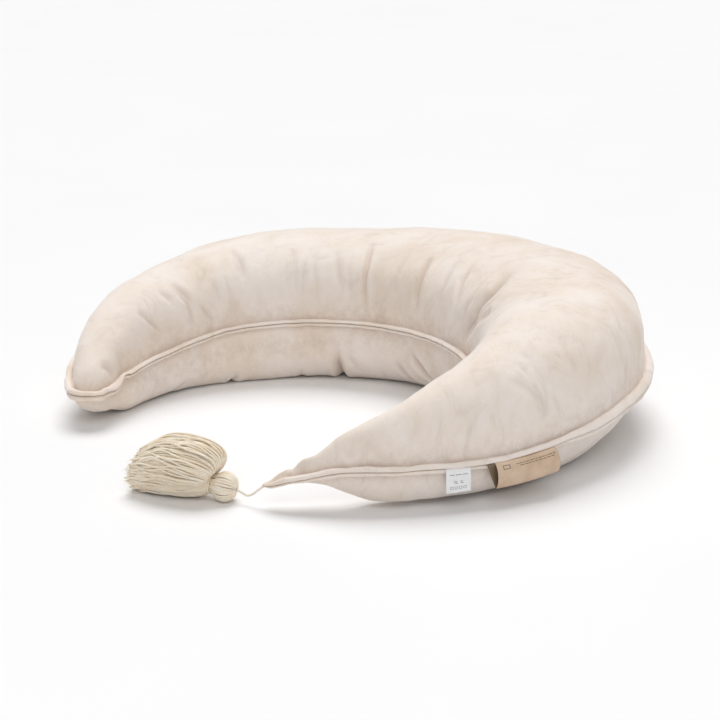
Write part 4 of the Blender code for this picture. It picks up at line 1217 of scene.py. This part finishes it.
def build_zip():
    """Coiled teeth in place of the plain bands; the zip's other parts keep the CAD's shapes."""
    start, end = math.radians(ZIP_START - 0.4), math.radians(ZIP_START - ZIP_SWEEP + 0.4)
    turns = int(abs(end - start) * OUTER_RADIUS / COIL_PITCH)
    for name, node, side in (("zip_teeth_upper", "zip_coil_upper", 1),
                             ("zip_teeth_lower", "zip_coil_lower", -1)):
        phase = np.linspace(0, turns * math.tau, turns * 9)
        angle = start + (end - start) * (phase / phase[-1])
        angle = angle + (0.5 * COIL_PITCH / OUTER_RADIUS if side < 0 else 0)
        path = zip_point(angle, 0.00165 + 0.00095 * np.cos(phase),
                         side * (0.00085 + 0.00085 * np.sin(phase)))
        add_tubes(name, [path], [0.00026], 5, "nylon", "pillow", node)
    for kind, slot, names in (
            ("tape", "zip_tape", ("zip_tape_upper", "zip_tape_lower")),
            ("metal", "zip_metal", ("zip_top_stop", "zip_bottom_stop", "zip_slider", "zip_pull"))):
        for name in names:
            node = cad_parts[name]
            node.data.materials.clear()
            node.data.materials.append(MATERIALS[kind])
    paths = []
    for height in (0.0062, -0.0062):
        line = zip_point(np.linspace(start, end, 900), -0.0001, height)
        paths += stitches(line, 0.0034, 0.0024, np.zeros(3))
    add_tubes("zip_stitches", paths, [0.0002] * len(paths), 5, "thread", "pillow")


# ---- Labels -------------------------------------------------------------------------------------
def edge_frame(share):
    """The flange's outer edge on the tasselled arm: point, towards the tip, outwards, up."""
    def seam_point(place):
        rows = arm_rows(TASSEL_ARM, np.array([place]))
        plan = rows["centre"][0] + rows["across"][0] * (rows["half_width"][0] + FLANGE_WIDTH)
        return np.array([*plan, rows["seam_out"][0]])

    tangent = unit(seam_point(share + 0.01) - seam_point(share - 0.01))
    outward = unit(np.array([-tangent[1], tangent[0], 0.0]))
    point = seam_point(share) + outward * LABEL_STANDOFF
    return point, tangent, outward, np.cross(tangent, outward)


def band_normals(profile):
    """Unit normals in the plane of an (out, up) profile."""
    tangent = unit(np.gradient(profile, axis=0))
    return np.stack([tangent[:, 1], -tangent[:, 0]], axis=1)


def band_mesh(name, frames, profile, thickness, bend, skew=None):
    """A band of this thickness swept along frames.

    bend(share, profile) changes its (out, up) profile.
    skew is how far each point of the profile is moved towards the tip.
    """
    shift = np.zeros(len(profile)) if skew is None else skew
    shift = np.concatenate([shift, shift[::-1]])[:, None]
    rows = []
    for k, (point, tangent, outward, up) in enumerate(frames):
        line = bend(k / (len(frames) - 1), profile)
        normal = band_normals(line) * thickness / 2
        ring = np.concatenate([line + normal, (line - normal)[::-1]])
        rows.append(point + ring[:, :1] * outward + ring[:, 1:] * up + shift * tangent)
    grid = np.array(rows)
    caps = []
    for k, ahead in ((0, grid[0] - grid[1]), (-1, grid[-1] - grid[-2])):
        middle = (grid[k] + grid[k][::-1]) / 2
        caps.append(grid[k] * 0.35 + middle * 0.65 + unit(ahead.mean(axis=0)) * thickness * 0.3)
    grid = np.concatenate([caps[0][None], grid, caps[1][None]])
    mesh = grid_mesh(name, grid, close_columns=True)
    count, last = grid.shape[1], (grid.shape[0] - 1) * grid.shape[1]
    with editing(mesh) as bm:
        bm.verts.ensure_lookup_table()
        for base in (0, last):
            for k in range(count // 2 - 1):
                quad = [bm.verts[base + i] for i in (k, k + 1, count - 2 - k, count - 1 - k)]
                bm.faces.new(quad if base else quad[::-1])
        bmesh.ops.recalc_face_normals(bm, faces=bm.faces[:])
    mesh.shade_smooth()
    return mesh


def band_mark(frames, profile, mark, lift, bend):
    """A grid of points over a mark on a band's face.

    The mark is its start and end along the band, then those down the profile, as shares.
    """
    rows = []
    for along in np.linspace(mark[0], mark[1], 6):
        exact = along * (len(frames) - 1)
        low = int(min(exact, len(frames) - 2))
        mix = exact - low
        point, _, outward, up = (before * (1 - mix) + after * mix
                                 for before, after in zip(frames[low], frames[low + 1]))
        line = bend(along, profile)
        normal = band_normals(line)
        wanted = np.linspace(mark[2], mark[3], 4) * (len(line) - 1)
        index = np.arange(len(line))
        out = np.interp(wanted, index, line[:, 0] + normal[:, 0] * lift)
        high = np.interp(wanted, index, line[:, 1] + normal[:, 1] * lift)
        rows.append(point + out[:, None] * outward + high[:, None] * up)
    return np.array(rows)


def marks_mesh(name, frames, profile, marks, lift, bend):
    """One mesh of all of a band's marks."""
    points, faces = [], []
    for mark in marks:
        patch = band_mark(frames, profile, mark, lift, bend)
        base = sum(len(p) for p in points)
        n, m = patch.shape[:2]
        points.append(patch.reshape(-1, 3))
        corners = [base + i * m + j for i in range(n - 1) for j in range(m - 1)]
        faces += [(k, k + m, k + m + 1, k + 1) for k in corners]
    mesh = bpy.data.meshes.new(name)
    mesh.from_pydata(np.concatenate(points).tolist(), [], faces)
    return mesh


def smooth_profile(points, count):
    """A smooth (out, up) profile through these points."""
    return catmull_rom([(x, y, 0.0) for x, y in points], count)[:, :2]


def build_care_label():
    """White satin ribbon folded double and held between the flange's lips, with plain marks."""
    middle = edge_frame(CARE_SHARE)
    frames = [(middle[0] + middle[1] * CARE_WIDTH / 2 * t, *middle[1:])
              for t in np.linspace(1, -1, 15)]
    fold = -CARE_DROP
    profile = smooth_profile((
        (-0.0040, 0.0001), (-0.0008, 0.0000), (0.0006, -0.0012), (0.0010, -0.0060),
        (0.0012, -0.0140), (0.0012, fold * 0.94), (0.0008, fold), (0.0003, fold),
        (0.0001, fold * 0.95), (0.0003, -0.0140), (0.0003, -0.0060),
        (-0.0002, -0.0016), (-0.0012, -0.0005), (-0.0040, -0.0003)), 60)

    def curl(along, line):
        depth = np.clip(line[:, 1] / fold, 0, 1)
        wave = 0.0009 * (2 * along - 1) ** 2 * depth ** 1.5 + 0.0005 * math.sin(5 * along) * depth
        return line + np.stack([wave, 0.0012 * along ** 3 * depth * 0.6], axis=1)

    label = add_piece(band_mesh("satin_label", frames, profile, 0.00022, curl), "satin",
                      "care_label_body", "care_label")
    marks = [(start, end, line, line + 0.012)
             for line, start, end in ((0.17, 0.14, 0.34), (0.17, 0.38, 0.62), (0.17, 0.66, 0.88),
                                      (0.29, 0.30, 0.44), (0.29, 0.56, 0.66), (0.32, 0.34, 0.46),
                                      (0.32, 0.58, 0.70))]
    for start in (0.16, 0.34, 0.52, 0.70):
        marks += [(start + left, start + right, low, high)
                  for low, high, left, right in ((0.385, 0.391, 0, 0.12), (0.425, 0.431, 0, 0.12),
                                                 (0.385, 0.431, 0, 0.018),
                                                 (0.385, 0.431, 0.102, 0.12))]
    ink = add_piece(marks_mesh("label_marks", frames, profile, marks, -0.00018, curl), "ink",
                    "care_label_body")


def build_loop_label():
    """The tan band folded into a loop, open at both ends, with plain marks and an empty frame."""
    frames = [edge_frame(s) for s in np.linspace(LOOP_END, LOOP_START, 34)]
    shape = ((-0.0035, 0.0001), (0.0002, -0.0008), (-0.0008, -0.0072), (-0.0012, -0.0149),
             (-0.0002, -0.0211), (0.0022, -0.0240), (0.0048, -0.0222), (0.0068, -0.0165),
             (0.0068, -0.0092), (0.0042, -0.0026), (0.0008, 0.0003), (-0.0035, 0.0006))
    profile = smooth_profile(shape, 70)
    inner = np.arange(len(profile)) < np.argmin(profile[:, 1])
    skew = 0.0085 * inner * (1 - np.clip(-profile[:, 1] / LOOP_DROP, 0, 1)) ** 1.2

    def relax(along, line):
        depth = np.clip(-line[:, 1] / LOOP_DROP, 0, 1)
        puff = 0.0006 * math.sin(7 * along + 1) - 0.0008 * math.sin(math.pi * along)
        out = puff * np.sin(np.pi * depth) * (line[:, 0] > 0.001)
        return line + np.stack([out, 0 * depth], axis=1)

    mesh = band_mesh("tan_loop", frames, profile, 0.0009, relax, skew)
    # marks the band's inner face, which the leather paints dark as the shade inside the loop
    ring = 2 * len(profile)
    inside = [float(index % ring >= len(profile)) for index in range(len(mesh.vertices))]
    store(mesh, "inside", inside)
    add_piece(mesh, "leather", "label_loop_body", "label_loop")
    rng = random.Random(3)
    marks = []
    for line, along, last in ((0.858, 0.30, 0.93), (0.822, 0.36, 0.90)):
        while along < last:
            size = rng.uniform(0.02, 0.07)
            marks.append((along, along + size, line, line - 0.010))
            along += size + 0.014
    marks += [(0.09, 0.20, 0.868, 0.860), (0.09, 0.20, 0.812, 0.804),
              (0.09, 0.10, 0.868, 0.804), (0.190, 0.20, 0.868, 0.804)]
    add_piece(marks_mesh("loop_marks", frames, profile, marks, 0.00052, relax), "print",
              "label_loop_body")


# ---- Cord and tassel ----------------------------------------------------------------------------
def build_cord():
    """The two-ply cord between the cover's tip and the tassel."""
    path = catmull_rom(CORD_ROUTE, 34)
    fine = catmull_rom(CORD_ROUTE, 110)
    side, up = frames_along(fine)
    along = np.linspace(0, line_length(fine), len(fine))
    around = np.arange(14) * math.tau / 14
    twist = along[:, None] / CORD_PLY_PITCH * math.tau
    radius = CORD_DIAMETER / 2 * (0.90 + 0.12 * np.abs(np.cos(around[None, :] - twist)))
    rings = (fine[:, None] + (radius * np.cos(around))[..., None] * side[:, None]
             + (radius * np.sin(around))[..., None] * up[:, None])
    ends = [np.repeat(fine[k][None, None], 14, axis=1) for k in (0, -1)]
    mesh = grid_mesh("two_ply_cord", np.concatenate([ends[0], rings, ends[1]]), close_columns=True,
                     weld=0.000001)
    face_outwards(mesh)
    cord = add_piece(mesh, "cord", "cord_body", "tassel_cord")


def tassel_axes():
    """Along the tassel towards its ends, across it, and up from it."""
    heading, tilt = math.radians(TASSEL_HEADING), math.radians(TASSEL_TILT)
    along = np.array([math.cos(heading) * math.cos(tilt), math.sin(heading) * math.cos(tilt),
                      math.sin(tilt)])
    across = unit(np.cross((0.0, 0.0, 1.0), along))
    return along, across, np.cross(along, across)


def tassel_point(axial, radial, angle):
    """A point about the tassel's axis, from its head's centre; the angle is 0 at the top."""
    along, across, up = tassel_axes()
    axial, radial, angle = np.broadcast_arrays(axial, radial, angle)
    return (np.array(TASSEL_HEAD_CENTRE) + axial[..., None] * along
            + (radial * np.sin(angle))[..., None] * across
            + (radial * np.cos(angle))[..., None] * up)


def yarn_line(rank, top, side, reach, spread):
    """One yarn's (axial, radial) points from the neck to its cut end; rank is 1 at the outside."""
    lower = ((NECK_AT - 0.001, 0.0080), (0.0185, 0.0120), (0.0260, 0.0160), (0.0400, 0.0195),
             (0.0600, 0.0215), (0.0820, 0.0215), (reach, 0.0205))
    upper = ((NECK_AT - 0.001, 0.0080), (0.0125, 0.0150), (0.0050, 0.0250), (0.0085, 0.0365),
             (0.0330, 0.0440), (0.0690, 0.0375), (reach - 0.006 * rank, 0.0205))
    deep = 1 - 0.25 * top * (1 - rank)
    knots = []
    for (low_at, low_out), (high_at, high_out) in zip(lower, upper):
        at = low_at + (high_at - low_at) * top * rank ** 0.8
        out = (low_out * side + high_out * top) * rank * spread * deep
        knots.append((at, max(out, 0.0008), 0.0))
    return catmull_rom(knots, 26)


def build_skirt_core():
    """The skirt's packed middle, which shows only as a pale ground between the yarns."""
    columns = []
    for angle in np.linspace(0, math.tau, 28, endpoint=False):
        top = max(0.0, math.cos(angle)) ** 0.7
        line = yarn_line(CORE_RANK, top, 1 - top, SKIRT_REACH - CORE_SHORTER, 1.0)
        path = tassel_point(line[:, 0], line[:, 1], np.full(len(line), angle))
        path[:, 2] = np.maximum(path[:, 2] - 0.004 * np.linspace(0, 1, len(path)) ** 2, 0.0022)
        middle = tassel_point(np.array([line[-1, 0] - 0.004]), np.zeros(1), np.zeros(1))
        columns.append(np.concatenate([path, middle]))
    grid = np.stack(columns, axis=1)
    add_piece(grid_mesh("skirt_core", grid, close_columns=True, weld=1e-5), "yarn", "tassel_body")


def build_head(rng):
    """Yarns over a packed ball, gathered at the neck."""
    paths, radii = [], []
    steps = np.linspace(0.03, 1, 18)
    swing = steps * math.pi * 0.80
    for k in range(HEAD_YARNS):
        angle = math.tau * (k + 0.25 * rng.uniform(-1, 1)) / HEAD_YARNS
        axial = -HEAD_HALF_LENGTH * np.cos(swing)
        radial = (HEAD_RADIUS - 0.0010) * np.sin(swing) ** 0.85
        radial = np.maximum(radial, 0.0012) + 0.0003 * rng.uniform(-1, 1)
        axial[-1] = max(axial[-1], NECK_AT)
        paths.append(tassel_point(axial, radial, angle + 0.05 * np.sin(3 * steps + k)))
        radii.append(0.0013 * np.clip(radial / HEAD_RADIUS * 1.15, 0.35, 1.0))
    ball = np.linspace(0.05, math.pi * 0.97, 12)
    paths.append(tassel_point(-HEAD_HALF_LENGTH * np.cos(ball) * 0.88, 0.0, 0.0))
    radii.append((HEAD_RADIUS - 0.0022) * np.sin(ball))
    add_tubes("tassel_head_yarn", paths, radii, 8, "yarn", "tassel_body",
              "tassel_head")


def build_binding():
    """The yarn wound round the neck."""
    turns = 5
    wind = np.linspace(0, turns * math.tau, turns * 28)
    ring = tassel_point(NECK_AT - 0.0016 + 0.0032 * wind / wind[-1],
                        NECK_RADIUS + 0.0006 + 0.0004 * np.sin(wind * 0.37), wind)
    add_tubes("neck_wrap", [ring], [0.00062], 7, "yarn", "tassel_body",
              "tassel_neck_binding")


def build_skirt(rng):
    """Loose yarns, every third one deeper in the bundle, with stray fibres along them."""
    paths, radii = [], []
    for k in range(SKIRT_YARNS):
        filled = (k + 0.5) / SKIRT_YARNS
        rank = math.sqrt(0.5 * filled if k % 3 == 0 else 0.5 + 0.5 * filled)
        angle = k * GOLDEN_ANGLE
        angle -= 0.42 * math.sin(angle)
        top = max(0.0, math.cos(angle)) ** 0.7
        reach = SKIRT_REACH - 0.0140 * rng.random() ** 2 - 0.004 * rng.random()
        spread = 1 + rng.uniform(-1, 1) * 0.04
        line = yarn_line(rank, top, 1 - top, reach, spread)
        t = np.linspace(0, 1, len(line))
        phase = rng.uniform(0, 9)
        sway = 0.10 * np.sin(2.2 * math.pi * t + phase) + 0.06 * np.sin(5 * math.pi * t + 2 * phase)
        radial = line[:, 1] + (0.0006 + 0.0008 * rank) * np.sin(3.4 * math.pi * t + phase * 2) * t
        path = tassel_point(line[:, 0], radial, angle + sway * t)
        path[:, 2] -= 0.004 * t ** 2
        lowest = YARN_RADIUS + 0.0002 + 0.0022 * (1 - rank)
        path[:, 2] = lowest + np.logaddexp(0, (path[:, 2] - lowest) / 0.0012) * 0.0012
        paths.append(path)
        thin = np.ones(len(t))
        thin[-1] = 0.65
        radii.append(YARN_RADIUS * thin * rng.uniform(0.85, 1.15))
    add_tubes("tassel_yarns", paths, radii, 6, "yarn", "tassel_body",
              "tassel_skirt")

    wisps = []
    for _ in range(WISPS):
        yarn = paths[rng.randrange(len(paths))]
        at = len(yarn) - 1 if rng.random() < 0.7 else rng.randrange(8, len(yarn) - 1)
        heading = unit(yarn[at] - yarn[at - 1])
        stray = np.array([rng.uniform(-1, 1), rng.uniform(-1, 1), rng.uniform(-0.5, 1)])
        length = rng.uniform(0.002, 0.006)
        t = np.linspace(0, 1, 5)[:, None]
        path = yarn[at] + length * (t * (heading + 0.5 * stray) + t ** 2 * 0.7 * stray[::-1])
        path[:, 2] = np.maximum(path[:, 2], 0.0005)
        wisps.append(path)
    add_tubes("tassel_wisps", wisps, [np.linspace(0.00020, 0.00007, 5)] * WISPS, 4, "yarn",
              "tassel_body")


def build_tassel():
    """The head, its binding, and the loose skirt."""
    rng = random.Random(11)
    build_head(rng)
    build_binding()
    build_skirt(rng)


build_flange_stitches()
build_lining()
build_filling()
build_zip()
build_care_label()
build_loop_label()
build_cord()
build_tassel()
build_skirt_core()


# ---- Floor, light and camera --------------------------------------------------------------------
def build_stage():
    """A flat pale floor."""
    mesh = bpy.data.meshes.new("floor")
    corners = ((-1, -1), (1, -1), (1, 1), (-1, 1))
    mesh.from_pydata([(x * FLOOR_REACH, y * FLOOR_REACH, 0) for x, y in corners], [],
                     [(0, 1, 2, 3)])
    floor = bpy.data.objects.new("floor", mesh)
    bpy.context.scene.collection.objects.link(floor)
    n = Nodes("floor")
    colour = n.ramp(n.noise(3.0, 2.0, 0.5),
                    ((0.3, (0.895, 0.895, 0.90)), (0.7, (0.91, 0.91, 0.915))))
    mesh.materials.append(n.finish(colour, roughness=0.6, specular_ior_level=0.25))


def build_lights():
    """A surround that is white to the camera and weaker as a light, and two soft suns."""
    world = bpy.data.worlds.new("studio")
    world.use_nodes = True
    tree = world.node_tree
    background = tree.nodes["Background"]
    background.inputs["Color"].default_value = (1.0, 1.0, 1.0, 1.0)
    seen = tree.nodes.new("ShaderNodeLightPath").outputs["Is Camera Ray"]
    strength = tree.nodes.new("ShaderNodeMapRange")
    strength.inputs["To Min"].default_value = SURROUND
    strength.inputs["To Max"].default_value = 1.0
    tree.links.new(seen, strength.inputs["Value"])
    tree.links.new(strength.outputs["Result"], background.inputs["Strength"])
    bpy.context.scene.world = world
    for name, direction, angle, power in SUNS:
        light = bpy.data.lights.new(name, "SUN")
        light.angle = math.radians(angle)
        light.energy = power
        lamp = bpy.data.objects.new(name, light)
        lamp.rotation_euler = Vector(direction).to_track_quat("-Z", "Y").to_euler()
        lamp.location = (0, 0, 2)
        bpy.context.scene.collection.objects.link(lamp)


def build_camera():
    """The camera, low on the tasselled arm's side."""
    camera = bpy.data.cameras.new("camera")
    camera.lens = CAMERA_LENS
    camera.sensor_width = 36.0
    camera.clip_end = 50.0
    holder = bpy.data.objects.new("camera", camera)
    turned = Matrix((CAMERA_RIGHT, CAMERA_UP, CAMERA_RIGHT.cross(CAMERA_UP))).transposed()
    holder.matrix_world = Matrix.Translation(CAMERA_AT) @ turned.to_4x4()
    bpy.context.scene.collection.objects.link(holder)
    bpy.context.scene.camera = holder


build_stage()
build_lights()
build_camera()
bpy.context.scene.view_settings.view_transform = "Standard"
